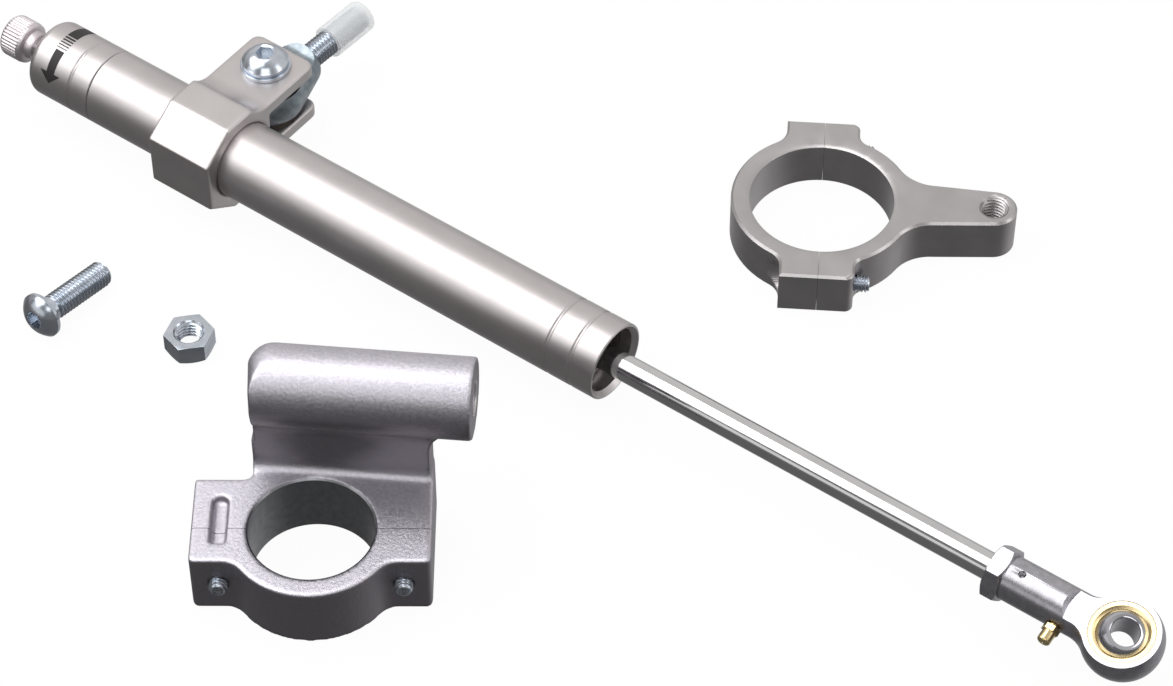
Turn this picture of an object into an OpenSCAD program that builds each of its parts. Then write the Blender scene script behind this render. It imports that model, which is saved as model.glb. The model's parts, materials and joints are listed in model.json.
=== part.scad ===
// Motorcycle steering damper with its fitting kit, laid out on a bench.
// The damper lies along X at axis_h above the bench, on the lower flat of its body clamp.
// The origin is under the middle of that clamp, on the bench. Sizes are in millimetres.

/* [Tube] */
// Outside diameter of the damper tube
tube_d = 24; // [23:0.5:25]
// Wall of the damper tube
tube_wall = 2; // [1.8:0.1:2.2]
// Front end of the tube, measured from the middle of the clamp
tube_front = 148.8; // [140:0.2:160]
// Rear end of the tube, where the cap begins, measured back from the clamp
tube_rear = 40.6; // [38:0.1:60]
// Open recess ahead of the circlip
front_recess = 5.4; // [4:0.1:7]
// Spacing of the two turned grooves at the front
groove_pitch = 8.4; // [6:0.1:10]
// From the joint of tube and cap back to the cap's groove
rear_pitch = 7.5; // [6:0.1:10]
// Width of a turned groove
groove_w = 0.8; // [0.4:0.1:1.2]
// Depth of a turned groove
groove_deep = 0.4; // [0.2:0.05:0.6]
// Oil space between the tube and the inner cylinder
cyl_gap = 0.8; // [0.7:0.1:1]
// Wall of the inner cylinder
cyl_wall = 1.2; // [1:0.1:1.4]

/* [End cap and adjuster] */
// Length of the cap outside the tube
cap_len = 24.2; // [22:0.1:28]
// Radius of the rounded rim at the back of the cap
cap_round = 2.6; // [1:0.1:4]
// Solid end of the cap behind the adjuster chamber
cap_end = 6; // [5.5:0.1:8]
// Wall of the cap's nose around the adjuster chamber
chamber_wall = 1.3; // [1.1:0.1:1.6]
// Diameter of the knurled knob
knob_d = 13.3; // [11:0.1:15]
// Length of the knob
knob_len = 11.4; // [9:0.1:14]
// Plain skirt at the foot of the knob
knob_skirt = 2.6; // [1.5:0.1:4]
// Ribs of the straight knurl
knurl_count = 36; // [24:1:48]
// Bright neck that shows between the knob and the cap
neck_len = 5; // [3:0.1:8]
// Diameter of the neck
neck_d = 6.4; // [5.8:0.1:7]
// Diameter of the metering needle
needle_d = 4; // [3.5:0.1:4.2]
// Distance the needle travels from open to closed
needle_travel = 2; // [1:0.1:2.4]

/* [Rod and piston] */
// Diameter of the chromed rod
rod_d = 8; // [7.5:0.1:8.5]
// Rod that shows between the tube and the rod end
rod_shown = 127.1; // [124:0.1:140]
// Length of the piston
piston_len = 12; // [10:0.5:16]
// Length of the gland that guides the rod
gland_len = 22.2; // [20:0.1:28]
// Length of the rod's end that screws into the rod end
rod_thread_len = 20; // [16:0.5:22]

/* [Rod ends] */
// Bore of both rod-end balls
ball_bore = 8; // [7.5:0.1:8.2]
// Diameter of the balls
ball_d = 15.9; // [15.5:0.1:16.4]
// Width of the balls
ball_w = 12; // [11:0.1:12.5]
// Thickness of the eyes
eye_thick = 9; // [8:0.1:9.6]
// Largest radius of the eyes
eye_r = 11.6; // [11.2:0.1:12.2]
// Outer radius of the brass races
race_r = 9.2; // [8.8:0.1:9.4]
// From the hex collar's outer face to the middle of the eye
rod_end_len = 40.5; // [38:0.1:46]
// Hex collar across its flats
collar_af = 14.6; // [13:0.1:16]
// Length of the hex collar
collar_len = 5.1; // [4:0.1:7]
// Diameter of the shank
shank_d = 13; // [12:0.1:14]
// Roll of the rod end about the rod
rod_end_roll = 15; // [0:1:30]
// Tilt of the rod end's ball towards the far end
ball_tilt = 12; // [0:1:13]
// Middle of the stud's eye to the tip of its thread
stud_len = 42; // [38:0.5:50]
// Diameter of the stud's thread
stud_d = 8; // [7:0.1:8.4]
// Swing of the stud away from square to the damper
stud_swing = 3; // [0:1:20]
// Outside diameter of the plastic thread protector
stud_cap_d = 10.4; // [10:0.1:12]
// Length of the thread protector
stud_cap_len = 16.3; // [12:0.1:20]

/* [Body clamp] */
// Wall of the clamp above and below the tube
clamp_wall = 4; // [3.5:0.1:6]
// Width of the clamp along the tube
clamp_w = 23; // [20:0.1:26]
// Wall of the clamp at its upright front face
front_wall = 4.2; // [3.5:0.1:6]
// Half of the upper and lower flats
flat_half = 5.4; // [4:0.1:7]
// Half height of the upright front face
front_half = 8.5; // [6:0.1:10]
// Clevis bolt's distance from the tube
clevis_out = 13.4; // [13.2:0.1:16]
// Middle of the clevis gap above the axis
clevis_rise = 2.1; // [0:0.1:3]
// Thickness of each ear
ear_t = 4.3; // [3.5:0.1:4.8]
// End of the ears beyond the bolt
ear_reach = 9.6; // [8.5:0.1:12]
// Corner radius of the ears
ear_round = 3; // [1:0.5:5]

/* [Screws] */
// Diameter of the large bolts
bolt_d = 8; // [7.5:0.1:8]
// Diameter of the button heads
head_d = 14; // [13:0.1:15]
// Height of the button heads
head_h = 4.4; // [4:0.1:5]
// Outside diameter of the clevis washer
washer_d = 15.4; // [14.6:0.1:17]
// Thickness of the clevis washer
washer_t = 1.4; // [1:0.1:2]
// Length of the loose bolt under its head
loose_bolt_len = 25; // [20:1:40]
// Loose nut across its flats
nut_af = 13; // [12.5:0.1:14]
// Height of the loose nut
nut_h = 6.5; // [5:0.1:8]
// Diameter of the clamp screws of the fork clamp and the bracket
pinch_d = 5; // [4.5:0.1:5.5]

/* [Fork clamp] */
// Bore of the fork clamp
fork_bore = 43; // [40:0.5:45]
// Wall of the fork clamp's ring
fork_wall = 5.5; // [5:0.1:7]
// Thickness of the fork clamp
fork_t = 15; // [12:0.1:18]
// Reach of the two lugs from the middle
fork_lug = 32.2; // [31.5:0.1:35]
// Half width of the arm at its tip
fork_arm_half = 6.9; // [6:0.1:8]
// Threaded hole of the arm from the middle
fork_arm_len = 51; // [48:0.5:60]

/* [Frame bracket] */
// Bore of the frame bracket
frame_bore = 35.2; // [33:0.1:36]
// Wall of the bracket's front ring
frame_wall = 5.9; // [5:0.1:7]
// Thickness of the split block
frame_t = 20; // [18:0.1:22]
// Half width of the split block
frame_half = 33; // [32.5:0.1:36]
// Front of the lugs from the split
frame_lug = 11.6; // [10:0.1:14]
// Back of the block from the split
frame_back = 17.6; // [15:0.1:20]
// Diameter of the boss
boss_d = 23; // [21:0.5:24]
// Height of the boss's axis
boss_h = 50; // [46:0.5:60]
// Thickness of the upright web
web_t = 8; // [6:0.5:10]

/* [Hidden] */
$fn = 96;

// Clearances
fit = 0.02;        // radial, pieces pressed or screwed together
run = 0.05;        // radial, pieces that slide or turn
seat = 0.1;        // axial, between neighbours on different bodies
split_gap = 0.3;   // between the halves of a split clamp
eps = 0.01;

// Colours
c_anodised = "#b9b4ae";
c_steel = "#9aa0a4";
c_chrome = "#c9ccd0";
c_zinc = "#b8c4d0";
c_brass = "#c2a35a";
c_rubber = "#26262a";
c_machined = "#a5a2a1";
c_cast = "#9b979f";
c_plastic = "#d6dadd";

// Tube and inner cylinder
tube_ir = tube_d / 2 - tube_wall;
cyl_or = tube_ir - cyl_gap;
cyl_bore = 2 * (cyl_or - cyl_wall);
plug_r = tube_ir - fit;
spigot_r = cyl_bore / 2 - fit;
spigot_len = 4;
circlip_t = 1.2;
circlip_x = tube_front - front_recess - circlip_t;
gland_x1 = circlip_x;
gland_x0 = gland_x1 - gland_len;
ring_groove_w = 2.2;
ring_section = 0.85;

// End cap and adjuster, all measured along X from the clamp
cap_plug_len = 4.6;
chamber_d = cyl_bore - 2 * chamber_wall;
cap_x0 = -tube_rear - cap_len;
chamber_x0 = cap_x0 + cap_end;
cap_plug_x1 = -tube_rear + cap_plug_len;
cap_nose_x = cap_plug_x1 + spigot_len + 1;
flange_t = 2.5;
flange_d = chamber_d - 0.4;
shaft_body_d = 2 * chamber_d / 3;
needle_tail_d = needle_d + 1;
needle_hex_af = needle_d + 1.4;
hex_len = 2.5;
seat_x0 = cap_nose_x - 16.5;
shaft_x1 = seat_x0 - 0.7;
knob_x1 = cap_x0 - neck_len;
knob_x0 = knob_x1 - knob_len;
knob_socket = 8;
detent_r = (flange_d + neck_d) / 4;
detent_d = (flange_d - neck_d) / 2 - 0.9;
port_d = 2.4;
hex_pocket = needle_travel + hex_len + 0.7;
metering_x = cap_nose_x - 2.5;
needle_cone = 3;
needle_tip_d = 1;
needle_entry = needle_cone * (port_d - needle_tip_d) / (needle_d - needle_tip_d);
needle_tip_x = metering_x - needle_travel + needle_entry - 0.1;
needle_ring_x = seat_x0 + hex_pocket + 1.2;
needle_ring_r = 0.4;
grub_x = knob_x1 - knob_skirt - 2.8;
grub_d = 3;

// Rod and piston
shoulder_x = gland_x0 - 0.3 - 4;
shim_t = 0.3;
piston_x1 = shoulder_x - shim_t;
piston_x0 = piston_x1 - piston_len;
piston_nut_h = 5;
rod_spigot_d = 6;
bumper_len = 4;
collar_x = tube_front + rod_shown;
eye_x = collar_x + rod_end_len;
rod_x1 = collar_x + rod_thread_len;
rod_thread_d = rod_d - 0.2;
nipple_back = 17.7;
witness_back = 31;    // witness hole, back from the eye's middle
nipple_d = 3.2;

// Body clamp: the damper's axis above the bench, the front face, and the clevis bolt from the axis
axis_h = tube_d / 2 + clamp_wall;
clamp_front = tube_d / 2 + front_wall;
clevis_y = tube_d / 2 + clevis_out;

// Clevis, ears and stud
ear_slope = 7.5;      // concave run from each flat down to its ear
ear_gap = ball_w + 0.2;
ear_top = clevis_rise + ear_gap / 2 + ear_t;
ear_foot = clevis_rise - ear_gap / 2 - ear_t;
ear_end = clevis_y + ear_reach;
slot_floor = clevis_y - eye_r - 0.5;
clevis_z = axis_h + clevis_rise;
bolt_r = bolt_d / 2 - run;
head_seat_z = axis_h + ear_top + washer_t;
stud_neck = eye_r + 5.4;
stud_cap_x0 = stud_len + 1.6 - stud_cap_len;

// Loose pieces on the bench
fork_at = [159.3, 89.9, 0];
fork_turn = 31.9;
fork_r = fork_bore / 2;
fork_or = fork_r + fork_wall;
lug_left = 11.4;
lug_right = 10.6;
lug_round = 2.5;      // corners of the lugs on the arm's side
arm_blend = 13;       // concave blends of the arm and of the lugs
lug_blend = 4;
lug_back_blend = 6;
fork_screw_y = (fork_r + fork_lug) / 2;
screw_seat = 6.2;     // from the split to the seats of the screw heads
pinch_head_d = 8.5;
pinch_head_h = 4.6;
frame_at = [119.7, -101.1, 0];
frame_turn = 36.1;
frame_r = frame_bore / 2;
frame_or = frame_r + frame_wall;
frame_screw_x = (frame_r + frame_half) / 2;
frame_screw_z = frame_t / 2;
frame_seat = 12.4;    // from the split to the seats of the screw heads
web_turn = -5.3;
web_x0 = -17;
web_x1 = 32.5;
boss_x1 = 45;
boss_y = 24.9;
m8_tap = 6.8;
boss_drill = 28;      // depth of the drilling in the boss
nut_cone = 5.2;       // run of the cones that chamfer the nut
nut_at = [37.1, -56.8, 0];
nut_turn = 46;
bolt_at = [-1.3, -76.6, 0];
bolt_turn = 87.9;
tip_chamfer = 0.6;

// Straight tube or bar along X, from x0 to x1
module bar(x0, x1, d) {
    translate([x0, 0, 0]) rotate([0, 90, 0]) cylinder(h = x1 - x0, d = d);
}

// Cone along X, from d0 at x0 to d1 at x1
module taper(x0, x1, d0, d1) {
    translate([x0, 0, 0]) rotate([0, 90, 0]) cylinder(h = x1 - x0, d1 = d0, d2 = d1);
}

// Bar along X with a chamfer at each end
module chamfered_bar(x0, x1, d, c0, c1) {
    taper(x0, x0 + c0, d - 2 * c0, d);
    bar(x0 + c0, x1 - c1, d);
    taper(x1 - c1, x1, d, d - 2 * c1);
}

// Ring of round section about X
module o_ring(x, r, section) {
    translate([x, 0, 0]) rotate([0, 90, 0]) rotate_extrude() translate([r, 0]) circle(r = section, $fn = 24);
}

// Places children on the damper's axis
module on_axis() {
    translate([0, 0, axis_h]) children();
}

// Hexagonal bar along X, chamfered on both ends
module hex_bar(x0, x1, af, c = 0.5) {
    across = af / cos(30);
    intersection() {
        translate([x0, 0, 0]) rotate([0, 90, 0]) cylinder(h = x1 - x0, d = across, $fn = 6);
        chamfered_bar(x0, x1, across + 0.4, c + 0.4, c + 0.4);
    }
}

// Damper tube with its turned grooves and the circlip groove
module body_tube() {
    color(c_anodised) on_axis() difference() {
        chamfered_bar(-tube_rear, tube_front, tube_d, 0.2, 0.4);
        bar(-tube_rear - 1, tube_front + 1, 2 * tube_ir);
        bar(circlip_x, circlip_x + circlip_t + 0.1, 2 * tube_ir + 1.6);
        for (i = [0, 1]) groove_at(tube_front - groove_pitch * (i + 1));
    }
}

// Material to turn away for one groove
module groove_at(x) {
    difference() {
        bar(x - groove_w / 2, x + groove_w / 2, tube_d + 1);
        bar(x - groove_w, x + groove_w, tube_d - 2 * groove_deep);
    }
}

// Outer half profile of the cap, with its rounded rear rim
module cap_profile() {
    r = tube_d / 2;
    difference() {
        translate([cap_x0, 0]) square([cap_len - 0.2, r]);
        difference() {
            translate([cap_x0 - 1, r - cap_round]) square([cap_round + 1, cap_round + 1]);
            translate([cap_x0 + cap_round, r - cap_round]) circle(r = cap_round);
        }
    }
}

// Revolves a profile of [x, r] about the X axis
module lathe() {
    rotate([0, 90, 0]) rotate_extrude() rotate([0, 0, 90]) mirror([0, 1]) children();
}

// Rear cap that plugs the tube and carries the adjuster
module end_cap() {
    color(c_anodised) on_axis() difference() {
        union() {
            lathe() cap_profile();
            bar(cap_x0 + cap_round + 1, cap_plug_x1, 2 * plug_r);
            bar(cap_plug_x1 - eps, cap_nose_x, 2 * spigot_r);
        }
        bar(cap_x0 - 1, chamber_x0 + 1, neck_d + 2 * run);
        bar(chamber_x0, cap_nose_x + 1, chamber_d);
        groove_at(-tube_rear - rear_pitch);
        ring_groove((-tube_rear + cap_plug_x1) / 2, plug_r);
        translate([0, 0, detent_r]) bar(chamber_x0 - 3.4, chamber_x0 + 1, detent_d + 0.1);
    }
}

// Groove for an O ring in the outside of a bar of radius r
module ring_groove(x, r) {
    difference() {
        bar(x - ring_groove_w / 2, x + ring_groove_w / 2, 2 * r + 2);
        bar(x - ring_groove_w, x + ring_groove_w, 2 * (tube_ir - 2 * ring_section - 2 * fit));
    }
}

// Cylinder that the piston runs in, with its bypass ports at the front
module inner_cylinder() {
    color(c_steel) on_axis() difference() {
        bar(cap_plug_x1, gland_x0 + spigot_len, 2 * cyl_or);
        bar(cap_plug_x1 - 1, gland_x0 + spigot_len + 1, cyl_bore);
        for (a = [0:90:270])
            rotate([a, 0, 0]) translate([gland_x0 - 3, 0, 0]) cylinder(h = cyl_or + 1, d = 1.6);
    }
}

// Front gland that closes the tube and holds bush, seal and wiper
module rod_gland() {
    color(c_machined) on_axis() difference() {
        union() {
            bar(gland_x0, gland_x0 + spigot_len + 1, 2 * spigot_r);
            bar(gland_x0 + spigot_len, gland_x1 - fit, 2 * plug_r);
        }
        bar(gland_x0 - 1, gland_x1 + 1, rod_d + 1);
        bar(gland_x0 + 1, gland_x0 + 12, rod_d + 2 + 2 * fit);
        bar(gland_x1 - 9, gland_x1 + 1, rod_d + 6 + 2 * fit);
        ring_groove(gland_x0 + 8, plug_r);
    }
}

// Sintered bush that guides the rod
module rod_bush() {
    color(c_brass) on_axis() difference() {
        bar(gland_x0 + 1.1, gland_x0 + 11.9, rod_d + 2);
        bar(gland_x0, gland_x0 + 13, rod_d + 2 * run);
    }
}

// Oil seal with its lip groove
module rod_seal() {
    color(c_rubber) on_axis() difference() {
        bar(gland_x1 - 8.9, gland_x1 - 4, rod_d + 6);
        bar(gland_x1 - 10, gland_x1, rod_d + 2 * run);
        difference() {
            bar(gland_x1 - 10, gland_x1 - 6.5, rod_d + 4);
            bar(gland_x1 - 11, gland_x1 - 6, rod_d + 2);
        }
    }
}

// Wiper with a lip that stands forward
module rod_wiper() {
    color(c_rubber) on_axis() difference() {
        union() {
            bar(gland_x1 - 3.8, gland_x1 - 0.6, rod_d + 6);
            taper(gland_x1 - 0.6, gland_x1 + 0.9, rod_d + 3.4, rod_d + 1.4);
        }
        bar(gland_x1 - 5, gland_x1 + 2, rod_d + 2 * run);
    }
}

module gland_o_ring() {
    color(c_rubber) on_axis() o_ring(gland_x0 + 8, tube_ir - ring_section - fit, ring_section);
}

module cap_o_ring() {
    color(c_rubber) on_axis()
        o_ring((-tube_rear + cap_plug_x1) / 2, tube_ir - ring_section - fit, ring_section);
}

// Internal circlip with its two eyelets
module circlip() {
    lip = 0.7;
    eyelet_at = tube_ir - 1.9;
    color(c_steel) on_axis() translate([circlip_x + 0.05, 0, 0]) rotate([0, 90, 0])
        linear_extrude(circlip_t - 0.05) difference() {
            union() {
                difference() {
                    circle(r = tube_ir + lip);
                    circle(r = tube_ir - 1.3);
                    polygon([
                        [0, 0], tube_d * [cos(24), -sin(24)], 2 * tube_d * [1, 0], tube_d * [cos(24), sin(24)]
                    ]);
                }
                for (a = [-30, 30]) rotate(a) translate([eyelet_at, 0]) circle(r = 1.6);
            }
            for (a = [-30, 30]) rotate(a) translate([eyelet_at, 0]) circle(r = 0.6);
        }
}

// Profile of the knob: rounded outer rim, grip, undercut and chamfered skirt
module knob_profile() {
    r = knob_d / 2;
    rim = 1.6;
    skirt_x = knob_x1 - knob_skirt;
    difference() {
        polygon([
            [knob_x0, 0], [knob_x0, r], [skirt_x - 0.7, r], [skirt_x - 0.7, r - 0.7], [skirt_x, r - 0.7],
            [skirt_x, r - 0.2], [knob_x1 - 1, r - 0.2], [knob_x1, r - 1.1], [knob_x1, 0]
        ]);
        difference() {
            translate([knob_x0 - 1, r - rim]) square([rim + 1, rim + 1]);
            translate([knob_x0 + rim, r - rim]) circle(r = rim);
        }
    }
}

// Knurled adjuster knob
module adjuster_knob() {
    color(c_machined) on_axis() difference() {
        lathe() knob_profile();
        for (i = [0:knurl_count - 1])
            rotate([i * 360 / knurl_count, 0, 0]) translate([knob_x0 - 1, 0, knob_d / 2 + 0.12])
                rotate([0, 90, 0]) rotate([0, 0, 45])
                    translate([-0.42, -0.42, 0]) cube([0.84, 0.84, knob_len - knob_skirt + 1 - 0.7]);
        bar(knob_x1 - knob_socket, knob_x1 + 1, neck_d + 2 * fit);
        translate([grub_x, 0, -knob_d]) cylinder(h = knob_d, d = grub_d + 2 * fit);
    }
}

// Grub screw that locks the knob on its shaft
module knob_grub_screw() {
    color(c_zinc) on_axis() difference() {
        translate([grub_x, 0, -knob_d / 2 + 0.6])
            cylinder(h = knob_d / 2 - neck_d / 2 - 0.6 - 2 * fit, d = grub_d);
        translate([grub_x, 0, -knob_d / 2]) cylinder(h = 1.6, d = 1.7, $fn = 6);
    }
}

// Shaft that the knob turns: neck, detent flange and threaded socket for the needle
module adjuster_shaft() {
    color(c_chrome) on_axis() difference() {
        union() {
            bar(knob_x1 - knob_socket + 0.2, chamber_x0 + 1, neck_d);
            bar(chamber_x0 + 2 * seat, chamber_x0 + 2 * seat + flange_t, flange_d);
            bar(chamber_x0 + 1, shaft_x1, shaft_body_d);
        }
        bar(chamber_x0 + flange_t + 0.6, shaft_x1 + 1, needle_tail_d + 2 * run);
        for (a = [0:20:340])
            rotate([a, 0, 0]) translate([chamber_x0 - 0.45, 0, detent_r]) sphere(d = detent_d, $fn = 24);
    }
}

// Metering needle: threaded tail, hexagonal key, stem and cone
module adjuster_needle() {
    hex_x0 = seat_x0 + 0.3;
    color(c_chrome) on_axis() {
        difference() {
            union() {
                bar(shaft_x1 - 5.4, hex_x0 + eps, needle_tail_d);
                translate([hex_x0, 0, 0]) rotate([0, 90, 0])
                    cylinder(h = hex_len, d = needle_hex_af / cos(30), $fn = 6);
                bar(hex_x0 + hex_len - eps, needle_tip_x - needle_cone, needle_d);
                taper(needle_tip_x - needle_cone, needle_tip_x, needle_d, needle_tip_d);
            }
            ring_cut();
        }
    }
}

// Groove of the needle's O ring
module ring_cut() {
    difference() {
        bar(needle_ring_x - 0.5, needle_ring_x + 0.5, needle_d + 2);
        bar(needle_ring_x - 1, needle_ring_x + 1, needle_d + 2 * run - 4 * needle_ring_r - 4 * fit);
    }
}

module needle_o_ring() {
    color(c_rubber) on_axis()
        o_ring(needle_ring_x, needle_d / 2 + run - needle_ring_r - fit, needle_ring_r);
}

// Seat that guides the needle and holds the metering port
module needle_seat() {
    color(c_brass) on_axis() difference() {
        bar(seat_x0, cap_nose_x - 0.2, chamber_d - 2 * fit);
        translate([seat_x0 - 1, 0, 0]) rotate([0, 90, 0])
            cylinder(h = hex_pocket + 1, d = (needle_hex_af + 2 * run) / cos(30), $fn = 6);
        bar(seat_x0, metering_x, needle_d + 2 * run);
        bar(needle_ring_x + needle_travel + 1, metering_x, needle_d + 1.4);
        bar(metering_x - 1, cap_nose_x + 1, port_d);
        for (a = [45:90:315])
            rotate([a, 0, 0]) translate([metering_x - 2, 0, 0]) cylinder(h = chamber_d, d = 1.6);
    }
}

// Ball that clicks into the shaft's flange
module detent_ball() {
    color(c_chrome) on_axis() translate([chamber_x0 - 1.05, 0, detent_r]) sphere(d = detent_d, $fn = 32);
}

// Coil spring behind the detent ball
module detent_spring() {
    wire = 0.35;
    turns = 3;
    free = 0.95;
    steps = 12;
    coil_r = detent_d / 2 - wire / 2 - 0.05;
    x0 = chamber_x0 - 3.4 + wire / 2;
    rings = [for (i = [0:turns * steps])
        let (a = i * 360 / steps, p = [x0 + free * i / (turns * steps), coil_r * cos(a), coil_r * sin(a)])
            [for (k = [0:5]) let (b = k * 60) p + wire / 2 * [sin(b), cos(b) * cos(a), cos(b) * sin(a)]]];
    points = [for (r = rings) for (p = r) p];
    last = len(rings) - 1;
    sides = [for (i = [0:last - 1]) for (k = [0:5])
        let (a = i * 6 + k, b = i * 6 + (k + 1) % 6)
            each [[a, b, a + 6], [b, b + 6, a + 6]]];
    ends = [for (k = [1:4]) each [[0, k + 1, k], [last * 6, last * 6 + k, last * 6 + k + 1]]];
    color(c_steel) on_axis() translate([0, 0, detent_r]) polyhedron(points, concat(sides, ends));
}

// Chromed rod with the piston's spigot and the end that screws into the rod end
module piston_rod() {
    color(c_chrome) on_axis() {
        chamfered_bar(piston_x0 - piston_nut_h - 1.1, shoulder_x + 1, rod_spigot_d, 0.5, 0.1);
        bar(shoulder_x, collar_x - 0.5, rod_d);
        taper(collar_x - 0.5 - eps, collar_x - 0.2, rod_d, rod_thread_d);
        chamfered_bar(collar_x - 0.5, rod_x1, rod_thread_d, 0.1, 0.6);
    }
}

// Piston with its ring groove and bleed holes
module piston() {
    ring_x = (piston_x0 + piston_x1) / 2;
    bleed_r = (rod_spigot_d + cyl_bore - 4) / 4;
    color(c_machined) on_axis() difference() {
        chamfered_bar(piston_x0, piston_x1, cyl_bore - 4 * run, 0.4, 0.4);
        bar(piston_x0 - 1, piston_x1 + 1, rod_spigot_d + 2 * fit);
        difference() {
            bar(ring_x - 1.6, ring_x + 1.6, cyl_bore + 2);
            bar(ring_x - 3, ring_x + 3, cyl_bore - 4);
        }
        for (a = [45:90:315])
            rotate([a, 0, 0]) translate([0, 0, bleed_r]) bar(piston_x0 - 1, piston_x1 + 1, 1.5);
    }
}

// Ring that rides in the piston's groove
module piston_ring() {
    ring_x = (piston_x0 + piston_x1) / 2;
    color(c_rubber) on_axis() difference() {
        bar(ring_x - 1.5, ring_x + 1.5, cyl_bore - 0.06);
        bar(ring_x - 3, ring_x + 3, cyl_bore - 4 + 2 * run);
    }
}

// Spring-steel shim on the piston's front face
module piston_shim() {
    color(c_steel) on_axis() difference() {
        bar(piston_x1, shoulder_x, cyl_bore - 2.6);
        bar(piston_x1 - 1, shoulder_x + 1, rod_spigot_d + 2 * fit);
    }
}

// Nut that holds the piston on the rod
module piston_nut() {
    color(c_zinc) on_axis() difference() {
        hex_bar(piston_x0 - piston_nut_h, piston_x0 - fit, 10);
        bar(piston_x0 - piston_nut_h - 1, piston_x0 + 1, rod_spigot_d + 2 * fit);
    }
}

// Rubber ring that cushions full extension
module top_out_bumper() {
    color(c_rubber) on_axis() difference() {
        chamfered_bar(shoulder_x + fit, shoulder_x + bumper_len, cyl_bore - 2.4, 0.6, 0.6);
        bar(shoulder_x - 1, shoulder_x + bumper_len + 1, rod_d + 2 * fit);
    }
}

// Profile of a turned eye on a shank: a ball of eye_r at x = 0, a shank of radius r back to x = -back
module eye_profile(r, back, blend) {
    reach = sqrt(pow(eye_r + blend, 2) - pow(r + blend, 2));
    touch = 0.99 * eye_r / (eye_r + blend);
    intersection() {
        translate([-back, 0]) square([back + eye_r, eye_r]);
        union() {
            circle(r = eye_r);
            translate([-back, 0]) square([back, r]);
            difference() {
                polygon([[-reach, 0], [-reach, r + eps], [-reach * touch, (r + blend) * touch], [0, 0]]);
                translate([-reach, r + blend]) circle(r = blend);
            }
        }
    }
}

// Cuts the two flat faces of an eye that lies along X, running out into the shank from x = -from
module eye_faces(from, run_out) {
    for (s = [0, 1]) mirror([0, 0, s]) {
        translate([-from, -20, eye_thick / 2]) cube([from + 20, 40, 20]);
        translate([-from, 20, eye_thick / 2 + run_out]) rotate([90, 0, 0]) cylinder(h = 40, r = run_out);
    }
}

// Places children on the rolled rod end, with the eye's middle at the origin
module at_rod_end() {
    on_axis() translate([eye_x, 0, 0]) rotate([rod_end_roll, 0, 0]) children();
}

// Forged rod end: hex collar, shank with a witness hole, and the eye
module rod_end_housing() {
    back = rod_end_len - collar_len;
    color(c_steel) at_rod_end() difference() {
        union() {
            difference() {
                lathe() eye_profile(shank_d / 2, back + 1, 8);
                eye_faces(13, 8);
            }
            hex_bar(-rod_end_len, -back, collar_af, 0.4);
        }
        bar(-rod_end_len - 1, -rod_end_len + rod_thread_len + 1, rod_thread_d + 2 * fit);
        taper(-rod_end_len - eps, -rod_end_len + 0.7, rod_d + 1.4, rod_d);
        translate([-witness_back, 0, 0]) cylinder(h = shank_d, d = 1.7);
        translate([0, 0, -eye_thick]) cylinder(h = 2 * eye_thick, r = race_r + fit);
        nipple_hole();
    }
}

// Hole of the grease nipple in the shank
module nipple_hole() {
    translate([-nipple_back, 0, 0]) rotate([90, 0, 0]) cylinder(h = shank_d, d = nipple_d + 2 * fit);
}

// Brass race between the eye and its ball
module race() {
    difference() {
        translate([0, 0, -eye_thick / 2 + 0.1]) cylinder(h = eye_thick - 0.2, r = race_r);
        sphere(d = ball_d + 2 * run, $fn = 128);
    }
}

// Bored ball with flat ends
module ball() {
    difference() {
        intersection() {
            sphere(d = ball_d, $fn = 128);
            cube([ball_d + 2, ball_d + 2, ball_w], center = true);
        }
        translate([0, 0, -ball_w]) cylinder(h = 2 * ball_w, d = ball_bore);
    }
}

module rod_end_race() {
    color(c_brass) at_rod_end() race();
}

module rod_end_ball() {
    color(c_steel) at_rod_end() rotate([0, ball_tilt, 0]) ball();
}

// Brass grease nipple with its ball end
module grease_nipple() {
    color(c_brass) at_rod_end() translate([-nipple_back, 0, 0]) rotate([90, 0, 0]) {
        translate([0, 0, rod_thread_d / 2 + 1]) cylinder(h = shank_d / 2 - rod_thread_d / 2, d = nipple_d);
        translate([0, 0, shank_d / 2 + 0.1]) cylinder(h = 2, d = 4.6, $fn = 6);
        translate([0, 0, shank_d / 2 + 2]) cylinder(h = 1.6, d1 = 3.2, d2 = 2);
        translate([0, 0, shank_d / 2 + 4]) sphere(d = 2.8, $fn = 32);
    }
}

// Side view of the clamp: eight-sided body, two ears and the slot between them
module clamp_section() {
    top_r = (pow(ear_slope, 2) + pow(axis_h - ear_top, 2)) / (2 * (axis_h - ear_top));
    low_r = (pow(ear_slope, 2) + pow(axis_h + ear_foot, 2)) / (2 * (axis_h + ear_foot));
    ear_y = flat_half + ear_slope;
    difference() {
        union() {
            polygon([
                [-flat_half, axis_h], [-clamp_front, front_half],
                [-clamp_front, -front_half], [-flat_half, -axis_h],
                [flat_half, -axis_h], [ear_y, -axis_h], [ear_y, axis_h], [flat_half, axis_h]
            ]);
            translate([ear_y - eps, ear_foot]) square([ear_end - ear_y, ear_top - ear_foot]);
        }
        translate([ear_y, ear_top + top_r]) circle(r = top_r);
        translate([ear_y, ear_foot - low_r]) circle(r = low_r);
        translate([slot_floor, clevis_rise - ear_gap / 2]) square([ear_end, ear_gap]);
        translate([0, clevis_rise - 0.8]) square([ear_end, 1.6]);
    }
}

// Plan of the clamp with the ears' round corners
module clamp_plan() {
    half = clamp_w / 2;
    translate([-half, -clamp_front - 1]) square([clamp_w, clamp_front + 1 + ear_end - ear_round]);
    translate([-half + ear_round, 0]) square([clamp_w - 2 * ear_round, ear_end]);
    for (s = [-1, 1]) translate([s * (half - ear_round), ear_end - ear_round]) circle(r = ear_round);
}

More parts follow.
